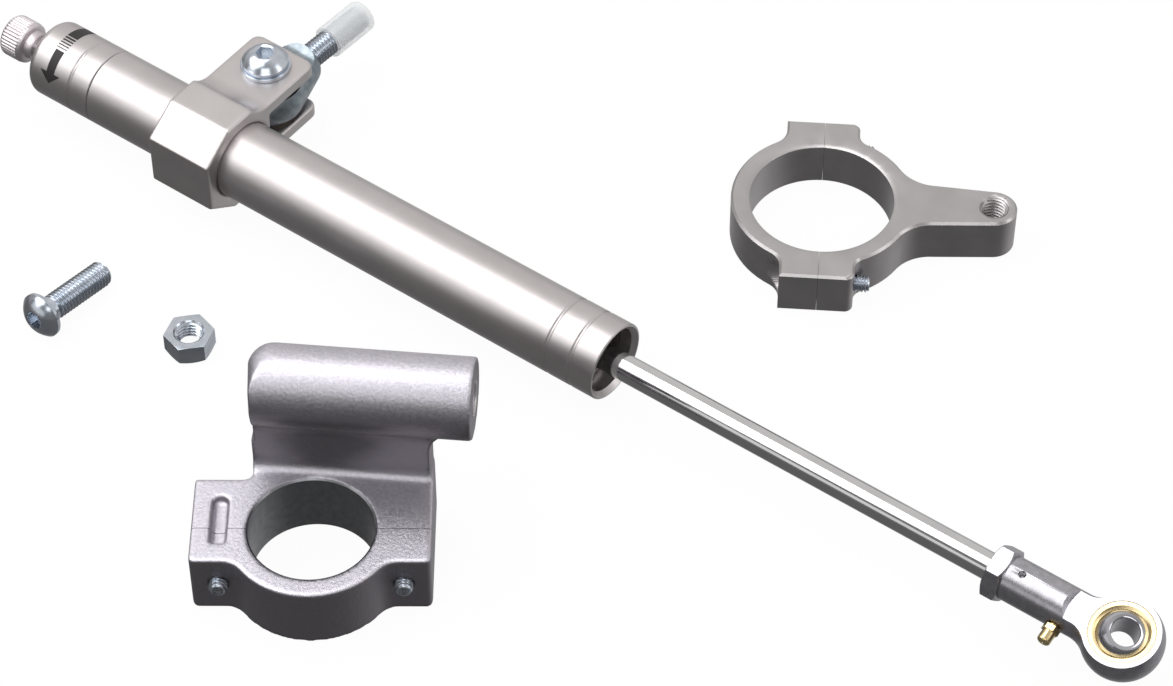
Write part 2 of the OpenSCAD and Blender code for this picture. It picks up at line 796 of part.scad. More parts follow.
// Body clamp that grips the tube and holds the stud's ball between its ears
module body_clamp() {
    color(c_anodised) on_axis() difference() {
        intersection() {
            translate([-clamp_w / 2, 0, 0]) rotate([90, 0, 90]) linear_extrude(clamp_w) clamp_section();
            translate([0, 0, -2 * axis_h]) linear_extrude(4 * axis_h) clamp_plan();
        }
        bar(-clamp_w, clamp_w, tube_d + 2 * run);
        translate([0, clevis_y, clevis_rise]) cylinder(h = axis_h, d = bolt_d + 0.4);
        translate([0, clevis_y, -axis_h]) cylinder(h = axis_h, d = 2 * bolt_r + 2 * fit);
    }
}

// Button-head bolt along +Z with its shank below z = 0
module button_bolt(length) {
    cap_r = (pow(head_d / 2, 2) + pow(head_h, 2)) / (2 * head_h) + 1.2;
    rim_z = 0.9;
    difference() {
        union() {
            intersection() {
                cylinder(h = head_h, d = head_d);
                translate([0, 0, head_h - cap_r + 0.05]) sphere(r = cap_r + 0.3, $fn = 96);
                cylinder(h = head_h, d1 = head_d, d2 = head_d - 2 * (head_h - rim_z) + 3.4);
            }
            translate([0, 0, -length + tip_chamfer]) cylinder(h = length - tip_chamfer, r = bolt_r);
            translate([0, 0, -length])
                cylinder(h = tip_chamfer, r1 = bolt_r - tip_chamfer, r2 = bolt_r);
        }
        translate([0, 0, head_h - 3.1]) cylinder(h = 4, d = 5 / cos(30), $fn = 6);
    }
}

module clevis_bolt() {
    color(c_zinc) translate([0, clevis_y, head_seat_z]) button_bolt(head_seat_z - axis_h - ear_foot + 1.5);
}

module clevis_washer() {
    color(c_zinc) translate([0, clevis_y, axis_h + ear_top]) difference() {
        cylinder(h = washer_t - fit, d = washer_d);
        translate([0, 0, -1]) cylinder(h = washer_t + 2, d = bolt_d + 0.4);
    }
}

// Places children on the clevis, with the stud along +Y turned by its swing
module at_clevis() {
    translate([0, clevis_y, clevis_z]) rotate([0, 0, -stud_swing]) children();
}

module clevis_ball() {
    color(c_steel) translate([0, clevis_y, clevis_z]) ball();
}

// Male rod end whose threaded stud leaves the clamp
module stud_eye() {
    color(c_steel) at_clevis() rotate([0, 0, 90]) difference() {
        union() {
            difference() {
                rotate([0, 0, 180]) lathe() eye_profile(stud_d / 2 + 0.4, stud_neck, 6);
                rotate([0, 0, 180]) eye_faces(11.6, 5);
            }
            chamfered_bar(stud_neck - 1, stud_len, stud_d, 0.2, 0.8);
        }
        translate([0, 0, -eye_thick]) cylinder(h = 2 * eye_thick, r = race_r + fit);
    }
}

module stud_race() {
    color(c_brass) at_clevis() race();
}

// Soft plastic protector pushed over the stud's thread
module stud_cap() {
    color(c_plastic) at_clevis() rotate([0, 0, 90]) difference() {
        chamfered_bar(stud_cap_x0, stud_cap_x0 + stud_cap_len, stud_cap_d, 0.3, 0.9);
        bar(stud_cap_x0 - 1, stud_len + 0.3, stud_d + 2 * run);
    }
}

// Places children at the fork clamp on the bench
module at_fork() {
    translate(fork_at) rotate([0, 0, fork_turn]) children();
}

// Points of an arc about c, from angle a to angle b in steps of about 5 degrees
function arc(c, r, a, b) = let (n = max(2, ceil(abs(b - a) / 5)))
    [for (i = [0:n]) c + r * [cos(a + (b - a) * i / n), sin(a + (b - a) * i / n)]];

// Height of the middle of a concave blend of radius f between a circle of radius r and a wall x away
function blend_rise(r, x, f) = sqrt(pow(r + f, 2) - pow(x + f, 2));

// Angle on the circle where that blend begins
function blend_angle(r, x, f) = acos((x + f) / (r + f));

// Points of a half outline followed by its mirror image below the X axis
function both_sides(half) = concat(half, [for (i = [len(half) - 1:-1:0]) [half[i][0], -half[i][1]]]);

// Upper half of the fork clamp's plan, from the tip of the arm round to the back of the ring
function fork_outline() = let (
    base = fork_arm_half + 1.2,
    arm_x = blend_rise(fork_or, base, arm_blend),
    arm_a = 90 - blend_angle(fork_or, base, arm_blend),
    right_y = blend_rise(fork_or, lug_right, lug_blend),
    right_a = blend_angle(fork_or, lug_right, lug_blend),
    left_y = blend_rise(fork_or, lug_left, lug_back_blend),
    left_a = blend_angle(fork_or, lug_left, lug_back_blend)
) concat(
    arc([fork_arm_len, 0], fork_arm_half, 2, 88),
    arc([arm_x, base + arm_blend], arm_blend, 270, 180 + arm_a),
    arc([0, 0], fork_or, arm_a, right_a),
    arc([lug_right + lug_blend, right_y], lug_blend, 180 + right_a, 180),
    arc([lug_right - lug_round, fork_lug - lug_round], lug_round, 0, 90),
    [[-lug_left, fork_lug]],
    arc([-lug_left - lug_back_blend, left_y], lug_back_blend, 0, -left_a),
    arc([0, 0], fork_or, 180 - left_a, 178)
);

// Plan of the fork clamp's ring with both lugs and the arm
module fork_plan() {
    polygon(both_sides(fork_outline()));
}

// Whole fork clamp before it is split
module fork_body() {
    difference() {
        linear_extrude(fork_t) fork_plan();
        translate([0, 0, -1]) cylinder(h = fork_t + 2, r = fork_r, $fn = 160);
        for (z = [0, 1]) translate([0, 0, z * fork_t]) mirror([0, 0, z])
            translate([0, 0, -eps]) cylinder(h = 0.6, r1 = fork_r + 0.6, r2 = fork_r, $fn = 160);
        translate([fork_arm_len, 0, -1]) cylinder(h = fork_t + 2, d = m8_tap);
        translate([fork_arm_len, 0, fork_t - 1.3]) cylinder(h = 1.3 + eps, d1 = m8_tap, d2 = m8_tap + 2.6);
    }
}

// Arm half of the fork clamp, with the tapped screw holes
module fork_clamp_arm() {
    color(c_machined) at_fork() difference() {
        fork_body();
        translate([-100 + split_gap / 2, -50, -1]) cube([100, 100, fork_t + 2]);
        for (s = [-1, 1]) translate([0, s * fork_screw_y, fork_t / 2])
            bar(-1, fork_lug, pinch_d + 2 * run);
    }
}

// Outer half of the fork clamp, with the pockets for the screw heads
module fork_clamp_cap() {
    color(c_machined) at_fork() difference() {
        fork_body();
        translate([-split_gap / 2, -50, -1]) cube([100, 100, fork_t + 2]);
        for (s = [-1, 1]) translate([0, s * fork_screw_y, fork_t / 2]) {
            bar(-fork_or, 1, pinch_d + 0.4);
            bar(-fork_or - 1, -screw_seat, pinch_head_d + 0.6);
        }
    }
}

// Socket screw along +X: the head's seat is at x = 0, the thread ends at x = length
module pinch_screw(length) {
    difference() {
        union() {
            chamfered_bar(-pinch_head_h, 0, pinch_head_d, 0.5, 0.1);
            chamfered_bar(-0.5, length, pinch_d, 0.1, 0.7);
        }
        translate([-pinch_head_h - 1, 0, 0]) rotate([0, 90, 0]) cylinder(h = 3.6, d = 4 / cos(30), $fn = 6);
    }
}

// The two clamp screws, whose threads stand out of the arm half's lugs
module fork_clamp_screws() {
    color(c_zinc) at_fork() for (s = [-1, 1])
        translate([-screw_seat, s * fork_screw_y, fork_t / 2]) pinch_screw(screw_seat + lug_right + 4.6);
}

// Places children at the frame bracket on the bench
module at_frame() {
    translate(frame_at) rotate([0, 0, frame_turn]) children();
}

// Places children on the turned web and boss: x along the boss, y square to the web
module at_web() {
    translate([0, boss_y, 0]) rotate([0, 0, web_turn]) children();
}

// Left half of the front plan, from the middle of the ring's front round to the split
function frame_front_half() = let (
    corner = 1.6,
    f = 7,
    x = blend_rise(frame_or, frame_lug, f),
    a = 90 - blend_angle(frame_or, frame_lug, f)
) concat(
    arc([0, 0], frame_or, -90, -a),
    arc([x, -frame_lug - f], f, 180 - a, 90),
    arc([frame_half - corner, -frame_lug + corner], corner, -90, 0),
    [[frame_half, 0]]
);

// Plan of the split block's front half: ring and two lugs
module frame_front_plan() {
    half = frame_front_half();
    polygon(concat(half, [for (i = [len(half) - 1:-1:1]) [-half[i][0], half[i][1]]]));
}

// Window in the left lug, where the clamp screw shows
module lug_window() {
    w = 4.4;
    translate([-frame_screw_x, 0, frame_screw_z]) {
        translate([-w / 2, -5, 0]) cube([w, 14.2, frame_t]);
        translate([0, 9.2, 0]) cylinder(h = frame_t, d = w);
    }
}

// Front half of the bracket's clamp
module frame_bracket_cap() {
    color(c_cast) at_frame() difference() {
        linear_extrude(frame_t) frame_front_plan();
        translate([0, 0, -1]) cylinder(h = frame_t + 2, r = frame_r, $fn = 160);
        translate([-50, -split_gap / 2, -1]) cube([100, 50, frame_t + 2]);
        for (s = [-1, 1]) translate([s * frame_screw_x, 1, frame_screw_z]) rotate([90, 0, 0])
            cylinder(h = frame_lug + 2, d = pinch_d + 2 * run);
        lug_window();
    }
}

// Height at x of the web's rear face in the plan
function web_back(x) = boss_y + tan(web_turn) * x + web_t / 2 / cos(web_turn);

// Plan of the rear block, which reaches back under the web
module frame_rear_plan() {
    toe = 3;
    web_left = web_x0 * cos(web_turn);
    polygon(concat(
        [[-frame_half, 0], [frame_half, 0], [frame_half, web_back(frame_half)], [web_left, web_back(web_left)]],
        arc([web_left - toe, frame_back + toe], toe, 0, -90),
        [[-frame_half, frame_back]]
    ));
}

// Front view of the web and the boss, drawn as x and height
module web_face() {
    flare = 8;
    under = boss_h - boss_d / 2;
    difference() {
        union() {
            translate([web_x0, 0]) square([web_x1 - web_x0, boss_h]);
            translate([web_x0, under - flare]) square([web_x1 - web_x0 + flare, flare + 2]);
        }
        translate([web_x1 + flare, under - flare]) circle(r = flare);
    }
}

// Outline that the boss keeps to, with the rounded upper corner at its left end
module boss_face() {
    corner = 6;
    top = boss_h + boss_d / 2 + 1;
    translate([web_x0 + corner, 0]) square([boss_x1 - web_x0 - corner, top]);
    translate([web_x0, 0]) square([corner + 1, top - 1 - corner]);
    translate([web_x0 + corner, top - 1 - corner]) circle(r = corner);
}

// Fillet bar along the foot of the web, on its front side
module web_fillet() {
    r = 3;
    difference() {
        translate([web_x0, -web_t / 2 - r, frame_t - eps]) cube([web_x1 - web_x0, r + 1, r]);
        translate([web_x0 - 1, -web_t / 2 - r, frame_t + r]) rotate([0, 90, 0]) cylinder(h = 100, r = r);
    }
}

// Cast bracket: rear half of the clamp, web and tapped boss
module frame_bracket() {
    color(c_cast) at_frame() difference() {
        union() {
            linear_extrude(frame_t) frame_rear_plan();
            at_web() {
                translate([0, web_t / 2, 0]) rotate([90, 0, 0]) linear_extrude(web_t) web_face();
                intersection() {
                    translate([0, 0, boss_h]) bar(web_x0, boss_x1, boss_d);
                    translate([0, boss_d, 0]) rotate([90, 0, 0]) linear_extrude(2 * boss_d) boss_face();
                }
                web_fillet();
            }
        }
        translate([0, 0, -1]) cylinder(h = frame_t + 1 + eps, r = frame_r, $fn = 160);
        translate([-50, -50 + split_gap / 2, -1]) cube([100, 50, frame_t + 2]);
        for (s = [-1, 1]) translate([s * frame_screw_x, 0, frame_screw_z]) {
            translate([0, 60, 0]) rotate([90, 0, 0]) cylinder(h = 60, d = pinch_d + 0.4);
            translate([0, 60, 0]) rotate([90, 0, 0])
                cylinder(h = 60 - frame_seat, d = pinch_head_d + 0.6);
        }
        lug_window();
        at_web() translate([0, 0, boss_h]) {
            bar(boss_x1 - boss_drill, boss_x1 + 1, m8_tap);
            taper(boss_x1 - 1.5, boss_x1 + eps, m8_tap, m8_tap + 3);
        }
    }
}

// The two clamp screws of the bracket, put in from the back
module frame_bracket_screws() {
    color(c_zinc) at_frame() for (s = [-1, 1])
        translate([s * frame_screw_x, frame_seat, frame_screw_z]) rotate([0, 0, -90])
            pinch_screw(frame_seat + frame_lug + 2.4);
}

// Loose bolt, lying on its head's rim and the end of its thread
module mounting_bolt() {
    lean = atan((head_d / 2 - bolt_r) / (loose_bolt_len - tip_chamfer));
    color(c_zinc) translate(bolt_at) rotate([0, 0, bolt_turn])
        translate([0, 0, head_d / 2 * cos(lean)]) rotate([0, -90 + lean, 0]) button_bolt(loose_bolt_len);
}

// Loose nut, flat on the bench
module mounting_nut() {
    color(c_zinc) translate(nut_at) rotate([0, 0, nut_turn]) difference() {
        intersection() {
            cylinder(h = nut_h, d = nut_af / cos(30), $fn = 6);
            union() {
                cylinder(h = nut_h / 2, d1 = nut_af - 0.6, d2 = nut_af + nut_cone);
                translate([0, 0, nut_h / 2 - eps])
                    cylinder(h = nut_h / 2 + eps, d1 = nut_af + nut_cone, d2 = nut_af - 0.6);
            }
        }
        translate([0, 0, -1]) cylinder(h = nut_h + 2, d = m8_tap);
        for (z = [0, 1]) translate([0, 0, z * nut_h]) mirror([0, 0, z])
            translate([0, 0, -eps]) cylinder(h = 1, r1 = m8_tap / 2 + 1, r2 = m8_tap / 2);
    }
}

body_tube();
end_cap();
inner_cylinder();
rod_gland();
rod_bush();
rod_seal();
rod_wiper();
gland_o_ring();
cap_o_ring();
circlip();
adjuster_knob();
adjuster_shaft();
adjuster_needle();
needle_seat();
needle_o_ring();
detent_ball();
detent_spring();
knob_grub_screw();
piston_rod();
piston();
piston_ring();
piston_shim();
piston_nut();
top_out_bumper();
rod_end_housing();
rod_end_race();
rod_end_ball();
grease_nipple();
body_clamp();
clevis_bolt();
clevis_washer();
clevis_ball();
stud_eye();
stud_race();
stud_cap();
fork_clamp_arm();
fork_clamp_cap();
fork_clamp_screws();
frame_bracket();
frame_bracket_cap();
frame_bracket_screws();
mounting_bolt();
mounting_nut();
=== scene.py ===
# %% [markdown]
# # Steering damper with its fitting kit
# A tubular hydraulic damper lies on a white table beside a fork clamp, a frame bracket, a bolt and a nut.
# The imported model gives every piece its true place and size. It is loaded first and its shapes stay as they
# are: each cell either gives its pieces a finish, or models a finer piece that stands for one of them.

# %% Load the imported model
import json
from math import atan2, ceil, cos, pi, radians, sin, sqrt, tan

import bmesh
import bpy
from mathutils import Matrix, Vector


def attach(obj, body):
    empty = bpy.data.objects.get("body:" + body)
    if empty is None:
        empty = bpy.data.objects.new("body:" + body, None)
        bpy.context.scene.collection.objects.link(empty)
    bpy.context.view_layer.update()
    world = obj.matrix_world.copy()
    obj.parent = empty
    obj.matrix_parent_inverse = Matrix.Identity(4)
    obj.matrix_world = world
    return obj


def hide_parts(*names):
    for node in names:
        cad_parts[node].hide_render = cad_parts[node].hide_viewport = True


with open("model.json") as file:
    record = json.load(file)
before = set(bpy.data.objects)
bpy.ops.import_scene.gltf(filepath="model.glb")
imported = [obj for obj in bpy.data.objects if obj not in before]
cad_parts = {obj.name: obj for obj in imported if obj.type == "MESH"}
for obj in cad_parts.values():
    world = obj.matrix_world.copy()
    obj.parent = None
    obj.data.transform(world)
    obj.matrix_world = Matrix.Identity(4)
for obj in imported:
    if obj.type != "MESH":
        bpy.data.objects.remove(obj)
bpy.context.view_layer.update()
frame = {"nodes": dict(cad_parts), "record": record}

# Pieces are written in millimetres and made in metres.
MM = 0.001

# %% [markdown]
# ## Camera and light
# The photograph was taken with a long lens from 48 degrees above the table, so lines stay nearly parallel.
# The camera's place was found by matching known points, such as bore rims and corners, to their pixels.
# It could be aimed with a Track To constraint, but three plain directions are easier to check.

# %% Camera
VIEW_TURN, VIEW_UP = radians(36.273), radians(48.0)
VIEW_FROM = (0.56836, -0.58558, 0.82416)
FOCAL_PX, PHOTO_WIDTH_PX = 3800.0, 1173.0
SENSOR_MM = 36.0
ahead = Vector((-sin(VIEW_TURN) * cos(VIEW_UP), cos(VIEW_TURN) * cos(VIEW_UP), -sin(VIEW_UP)))
right = Vector((cos(VIEW_TURN), sin(VIEW_TURN), 0.0))
upward = right.cross(ahead)
facing = Matrix((right, upward, -ahead)).transposed().to_4x4()
camera_data = bpy.data.cameras.new("product_camera")
camera_data.lens, camera_data.sensor_width = FOCAL_PX * SENSOR_MM / PHOTO_WIDTH_PX, SENSOR_MM
camera_data.clip_start, camera_data.clip_end = 0.05, 20.0
camera = bpy.data.objects.new("product_camera", camera_data)
camera.matrix_world = Matrix.Translation(VIEW_FROM) @ facing
bpy.context.scene.collection.objects.link(camera)
bpy.context.scene.camera = camera
print("camera lens", round(camera_data.lens, 1), "mm")

# %% Lamps
def softbox(name, place, aim, width, height, watts):
    """A rectangular lamp that faces a point. Places and sizes are in metres."""
    lamp = bpy.data.lights.new(name, "AREA")
    lamp.shape, lamp.size, lamp.size_y, lamp.energy = "RECTANGLE", width, height, watts
    holder = bpy.data.objects.new(name, lamp)
    toward = Vector(aim) - Vector(place)
    holder.matrix_world = Matrix.Translation(place) @ toward.to_track_quat("-Z", "Y").to_matrix().to_4x4()
    bpy.context.scene.collection.objects.link(holder)
    return holder


MIDDLE = (0.12, 0.0, 0.02)
lamps = [
    softbox("main_softbox", (-0.40, -0.33, 0.92), MIDDLE, 1.05, 1.15, 8.6),
    softbox("low_softbox", (-0.34, -0.98, 0.40), MIDDLE, 1.3, 0.42, 1.1),
    softbox("overhead_softbox", (-0.06, 0.14, 1.15), (-0.06, 0.14, 0.0), 0.5, 0.42, 1.8),
    softbox("camera_softbox", (0.72, -0.86, 1.06), MIDDLE, 0.95, 0.55, 3.3),
    softbox("side_softbox", (1.3, 0.5, 0.7), MIDDLE, 0.4, 0.8, 1.6),
]
bpy.context.scene.view_settings.view_transform = "Standard"
print("lamps", [lamp.name for lamp in lamps])

# %% [markdown]
# ## Helpers for finishes
# A finish is a small network of shader nodes. One function adds a node with its settings and links,
# and one turns the sRGB colours, as a painter writes them, into the linear values that the shader needs.

# %% Colour and node helpers
def paint(code):
    """An sRGB hex colour as linear red, green, blue and alpha."""
    parts = [int(code[i : i + 2], 16) / 255 for i in (1, 3, 5)]
    return tuple(c / 12.92 if c <= 0.04045 else ((c + 0.055) / 1.055) ** 2.4 for c in parts) + (1.0,)


def add(tree, kind, links=(), settings=(), **values):
    """Adds a node: settings are its properties, values its sockets by name or as i0, i1 by number,
    and links pair a socket with another node's output."""
    node = tree.nodes.new(kind)
    for key, value in dict(settings).items():
        setattr(node, key, value)
    for key, value in values.items():
        by_number = key[0] == "i" and key[1:].isdigit()
        socket = node.inputs[int(key[1:])] if by_number else node.inputs[key.replace("_", " ")]
        socket.default_value = value
    for key, output in dict(links).items():
        tree.links.new(output, node.inputs[key])
    return node


def new_finish(name):
    """A material with only its output and one surface shader."""
    material = bpy.data.materials.new(name)
    material.use_nodes = True
    tree = material.node_tree
    tree.nodes.clear()
    shader = add(tree, "ShaderNodeBsdfPrincipled")
    add(tree, "ShaderNodeOutputMaterial", {"Surface": shader.outputs["BSDF"]})
    return material, tree, shader


def ramp(tree, factor, low, high):
    """Maps the middle of a noise's range to the span between two colours."""
    node = add(tree, "ShaderNodeValToRGB", {"Fac": factor})
    for element, position, colour in zip(node.color_ramp.elements, (0.3, 0.7), (low, high)):
        element.position, element.color = position, colour
    return node.outputs["Color"]


print("white is", paint("#ffffff")[:3])

# %% [markdown]
# ## Table
# The photograph's ground is pure white and shows no edge. A matte table would do, but metal mirrors it.
# So the table glows nearly plain white to the camera and less to rays that come from metal or clear plastic.
# The small share that doesn't glow takes the pieces' faint shadow.

# %% White table
def white_ground(name):
    """A matte white whose glow depends on which kind of ray looks at it."""
    material, tree, shader = new_finish(name)
    shader.inputs["Base Color"].default_value = paint("#f4f4f4")
    shader.inputs["Roughness"].default_value = 0.9
    ray = add(tree, "ShaderNodeLightPath").outputs
    incoming = add(tree, "ShaderNodeNewGeometry").outputs["Incoming"]
    sideways = add(tree, "ShaderNodeSeparateXYZ", {"Vector": incoming}).outputs["Y"]
    mirror_level = add(tree, "ShaderNodeMapRange", {"Value": sideways},
                       From_Min=-0.6, From_Max=0.1, To_Min=0.5, To_Max=0.145)
    bright = add(tree, "ShaderNodeMapRange",
                 {"Value": ray["Is Glossy Ray"], "To Max": mirror_level.outputs[0]}, To_Min=1.0)
    glow = add(tree, "ShaderNodeEmission", {"Strength": bright.outputs[0]}, Color=(1, 1, 1, 1))
    glow_shares = {"Is Camera Ray": 0.96, "Is Glossy Ray": 1.0, "Is Transmission Ray": 0.6}
    shares = [add(tree, "ShaderNodeMath", {0: ray[kind]}, {"operation": "MULTIPLY"}, i1=share).outputs[0]
              for kind, share in glow_shares.items()]
    most = shares[0]
    for share in shares[1:]:
        most = add(tree, "ShaderNodeMath", {0: most, 1: share}, {"operation": "MAXIMUM"}).outputs[0]
    mix = add(tree, "ShaderNodeMixShader", {0: most, 1: shader.outputs[0], 2: glow.outputs[0]})
    tree.links.new(mix.outputs[0], tree.nodes["Material Output"].inputs["Surface"])
    return material


# The table reaches 3 m each way and lies 0.2 mm under the pieces.
table_bm = bmesh.new()
bmesh.ops.create_grid(table_bm, x_segments=2, y_segments=2, size=3.0)
bmesh.ops.translate(table_bm, verts=table_bm.verts, vec=(0.1, 0.0, -0.2 * MM))
table_mesh = bpy.data.meshes.new("white_table")
table_bm.to_mesh(table_mesh)
table_bm.free()
table_mesh.materials.append(white_ground("white_ground"))
table_top = bpy.data.objects.new("white_table", table_mesh)
bpy.context.scene.collection.objects.link(table_top)
print("table made")

# %% [markdown]
# ## Room
# Metal shows what stands round it, so the room matters as much as the lamps. A picture of a studio could
# light it, but one plain gradient is enough: dim on the camera's side and brighter behind the pieces. The
# camera itself sees plain white.

# %% Room
studio = bpy.data.worlds.new("studio")
studio.use_nodes = True
bpy.context.scene.world = studio
sky_tree = studio.node_tree
sky_tree.nodes.clear()
sky_ray = add(sky_tree, "ShaderNodeLightPath")
heading = add(sky_tree, "ShaderNodeTexCoord").outputs["Generated"]
depthwise = add(sky_tree, "ShaderNodeSeparateXYZ", {"Vector": heading}).outputs["Y"]
level = add(sky_tree, "ShaderNodeMapRange", {"Value": depthwise},
            From_Min=-0.5, From_Max=0.3, To_Min=0.22, To_Max=0.74)
room = add(sky_tree, "ShaderNodeBackground", {"Strength": level.outputs[0]}, Color=paint("#fffdfb"))
backdrop = add(sky_tree, "ShaderNodeBackground", Color=(1, 1, 1, 1), Strength=1.0)
sky = add(sky_tree, "ShaderNodeMixShader",
          {0: sky_ray.outputs["Is Camera Ray"], 1: room.outputs[0], 2: backdrop.outputs[0]})
add(sky_tree, "ShaderNodeOutputWorld", {"Surface": sky.outputs[0]})
print("room made")

# %% [markdown]
# ## Metals and plastics
# Nearly everything here is bare or plated metal. What tells one from another is how it was finished:
# a bead-blasted and anodised surface scatters light, a turned one has rings, a cast one has grain.
# A finish takes its pattern from the object's own coordinates in metres, so a scale of 1000 is one per mm.

# %% Metal finish
def metal(name, colour, worn, rough, grain_mm, deep_mm, spread, stretch=(1, 1, 1), spot_mm=9.0):
    """A metal with two grains: a fine one in the bump and gloss, and a broad one in the colour."""
    material, tree, shader = new_finish(name)
    where = add(tree, "ShaderNodeTexCoord").outputs["Object"]
    drawn = add(tree, "ShaderNodeMapping", {"Vector": where}, Scale=stretch)
    fine = add(tree, "ShaderNodeTexNoise", {"Vector": drawn.outputs[0]},
               Scale=1000.0 / grain_mm, Detail=3.0, Roughness=0.6)
    broad = add(tree, "ShaderNodeTexNoise", {"Vector": where}, Scale=1000.0 / spot_mm, Detail=2.0)
    tree.links.new(ramp(tree, broad.outputs["Fac"], paint(worn), paint(colour)), shader.inputs["Base Color"])
    gloss = add(tree, "ShaderNodeMapRange", {"Value": fine.outputs["Fac"]},
                To_Min=rough - spread, To_Max=rough + spread)
    tree.links.new(gloss.outputs[0], shader.inputs["Roughness"])
    bump = add(tree, "ShaderNodeBump", {"Height": fine.outputs["Fac"]},
               Strength=0.6, Distance=deep_mm / 1000.0)
    tree.links.new(bump.outputs[0], shader.inputs["Normal"])
    shader.inputs["Metallic"].default_value = 1.0
    return material


def paint_flank_shade(material, dark):
    """Paints shade into a finish where it looks sideways or down: its flanks and undersides get a darker
    colour, as if less lit.
    """
    tree = material.node_tree
    colour = tree.nodes["Principled BSDF"].inputs["Base Color"]
    facing_way = add(tree, "ShaderNodeTexCoord").outputs["Normal"]
    upwards = add(tree, "ShaderNodeSeparateXYZ", {"Vector": facing_way})
    share = add(tree, "ShaderNodeMapRange", {"Value": upwards.outputs["Z"]}, From_Min=-0.15, From_Max=0.85)
    mixed = add(tree, "ShaderNodeMixRGB", {"Fac": share.outputs[0], "Color2": colour.links[0].from_socket},
                Color1=paint(dark))
    tree.links.new(mixed.outputs[0], colour)


print("metal finish ready")

# %% Metals
# Bead-blasted and anodised aluminium: champagne silver, an even satin sheen.
anodised = metal("anodised_aluminium", "#cfcaca", "#c9c4c4", rough=0.37, grain_mm=0.25, deep_mm=0.002,
                 spread=0.04)
# Turned aluminium of the gland and the tapped hole, brighter and smoother.
turned_metal = metal("turned_aluminium", "#d6d4d2", "#cbc8c6", rough=0.24, grain_mm=0.2, deep_mm=0.002,
                     spread=0.05, stretch=(6, 1, 1))
# The aluminium of the knob, where the knurling wheel has broken its shine.
knurled_metal = metal("knurled_aluminium", "#e6dfe2", "#dbd3d7", rough=0.42, grain_mm=0.3, deep_mm=0.003,
                      spread=0.05)
# Milled aluminium of the fork clamp: flat grey, matte along the cutter's path.
milled = metal("milled_aluminium", "#c0bcbd", "#b6b3b4", rough=0.36, grain_mm=0.3, deep_mm=0.004, spread=0.06)
# Sand-cast aluminium of the bracket, vibratory-finished: grey-violet with a visible grain.
cast = metal("cast_aluminium", "#d3d0d8", "#c0bdc6", rough=0.46, grain_mm=0.9, deep_mm=0.16, spread=0.10,
             spot_mm=0.9)
# Painted shade: the bracket's flanks and undersides are darkened towards this grey.
paint_flank_shade(cast, "#858186")
# The bracket's bore: bored, so its rings run round it. Its colour is darker than the tumbled skin as painted
# shade inside the bore.
bored = metal("bored_aluminium_painted_shade", "#8f9093", "#7f8084", rough=0.34, grain_mm=0.25, deep_mm=0.006, spread=0.08,
              stretch=(1, 1, 6), spot_mm=2.0)
# Hard-chromed and ground rod: a near mirror with faint rings.
chromed = metal("hard_chrome", "#dadadb", "#d2d2d3", rough=0.10, grain_mm=0.2, deep_mm=0.0006, spread=0.03,
                stretch=(8, 1, 1))
# Forged steel of the rod end, tumbled to a satin.
satin_steel = metal("satin_steel", "#bbb9bf", "#a9a7ad", rough=0.27, grain_mm=0.6, deep_mm=0.02, spread=0.07,
                    spot_mm=2.0)
# Through-hardened and polished steel of the balls.
bearing_steel = metal("bearing_steel", "#c6c6cb", "#babac0", rough=0.14, grain_mm=0.2, deep_mm=0.0008,
                      spread=0.03)
# Zinc plate with a clear blue passivation, as on common screws.
zinc = metal("zinc_plate", "#d2d7df", "#bec6d0", rough=0.22, grain_mm=0.35, deep_mm=0.003, spread=0.08,
             spot_mm=4.0)
# Turned brass of the race rings and the grease nipple.
brass = metal("turned_brass", "#ead6a6", "#dcc38c", rough=0.22, grain_mm=0.2, deep_mm=0.002, spread=0.05)
# Zinc-plated forging of the threaded stud's eye: bluer and duller than the screws.
plated = metal("plated_forging", "#a9b2b8", "#838e96", rough=0.30, grain_mm=0.3, deep_mm=0.004, spread=0.08,
               spot_mm=3.0)
# Spring steel, phosphated dark, of the circlip.
spring_steel = metal("spring_steel", "#77736f", "#5c5956", rough=0.35, grain_mm=0.3, deep_mm=0.003,
                     spread=0.08)
print("aluminium", [m.name for m in (anodised, turned_metal, knurled_metal, milled, cast, bored)])
print("steel", [m.name for m in (chromed, satin_steel, bearing_steel, zinc, plated, spring_steel)])
print("and", brass.name)

# %% Rubber, plastic and ink
def matte(name, colour, dark, rough, grain_mm, deep_mm):
    """A matte material with a fine moulded grain."""
    material, tree, shader = new_finish(name)
    where = add(tree, "ShaderNodeTexCoord").outputs["Object"]
    grain = add(tree, "ShaderNodeTexNoise", {"Vector": where}, Scale=1000.0 / grain_mm, Detail=3.0)
    tree.links.new(ramp(tree, grain.outputs["Fac"], paint(dark), paint(colour)), shader.inputs["Base Color"])
    bump = add(tree, "ShaderNodeBump", {"Height": grain.outputs["Fac"]},
               Strength=0.5, Distance=deep_mm / 1000.0)
    tree.links.new(bump.outputs[0], shader.inputs["Normal"])
    shader.inputs["Roughness"].default_value = rough
    return material


# Nitrile rubber of seals and rings: near black, a soft sheen.
rubber = matte("nitrile_rubber", "#26262a", "#1a1a1d", rough=0.55, grain_mm=0.4, deep_mm=0.01)
# Screen ink of the printed band: flat black on the anodising.
ink = matte("screen_ink", "#1b191a", "#262324", rough=0.5, grain_mm=0.2, deep_mm=0.002)
# Soft polythene of the thread protector: frosted, so the thread shows through as a grey shape.
polythene = matte("frosted_polythene", "#eef1f3", "#e2e6e9", rough=0.35, grain_mm=0.5, deep_mm=0.004)
polythene.node_tree.nodes["Principled BSDF"].inputs["Alpha"].default_value = 0.45
print("others", rubber.name, ink.name, polythene.name)

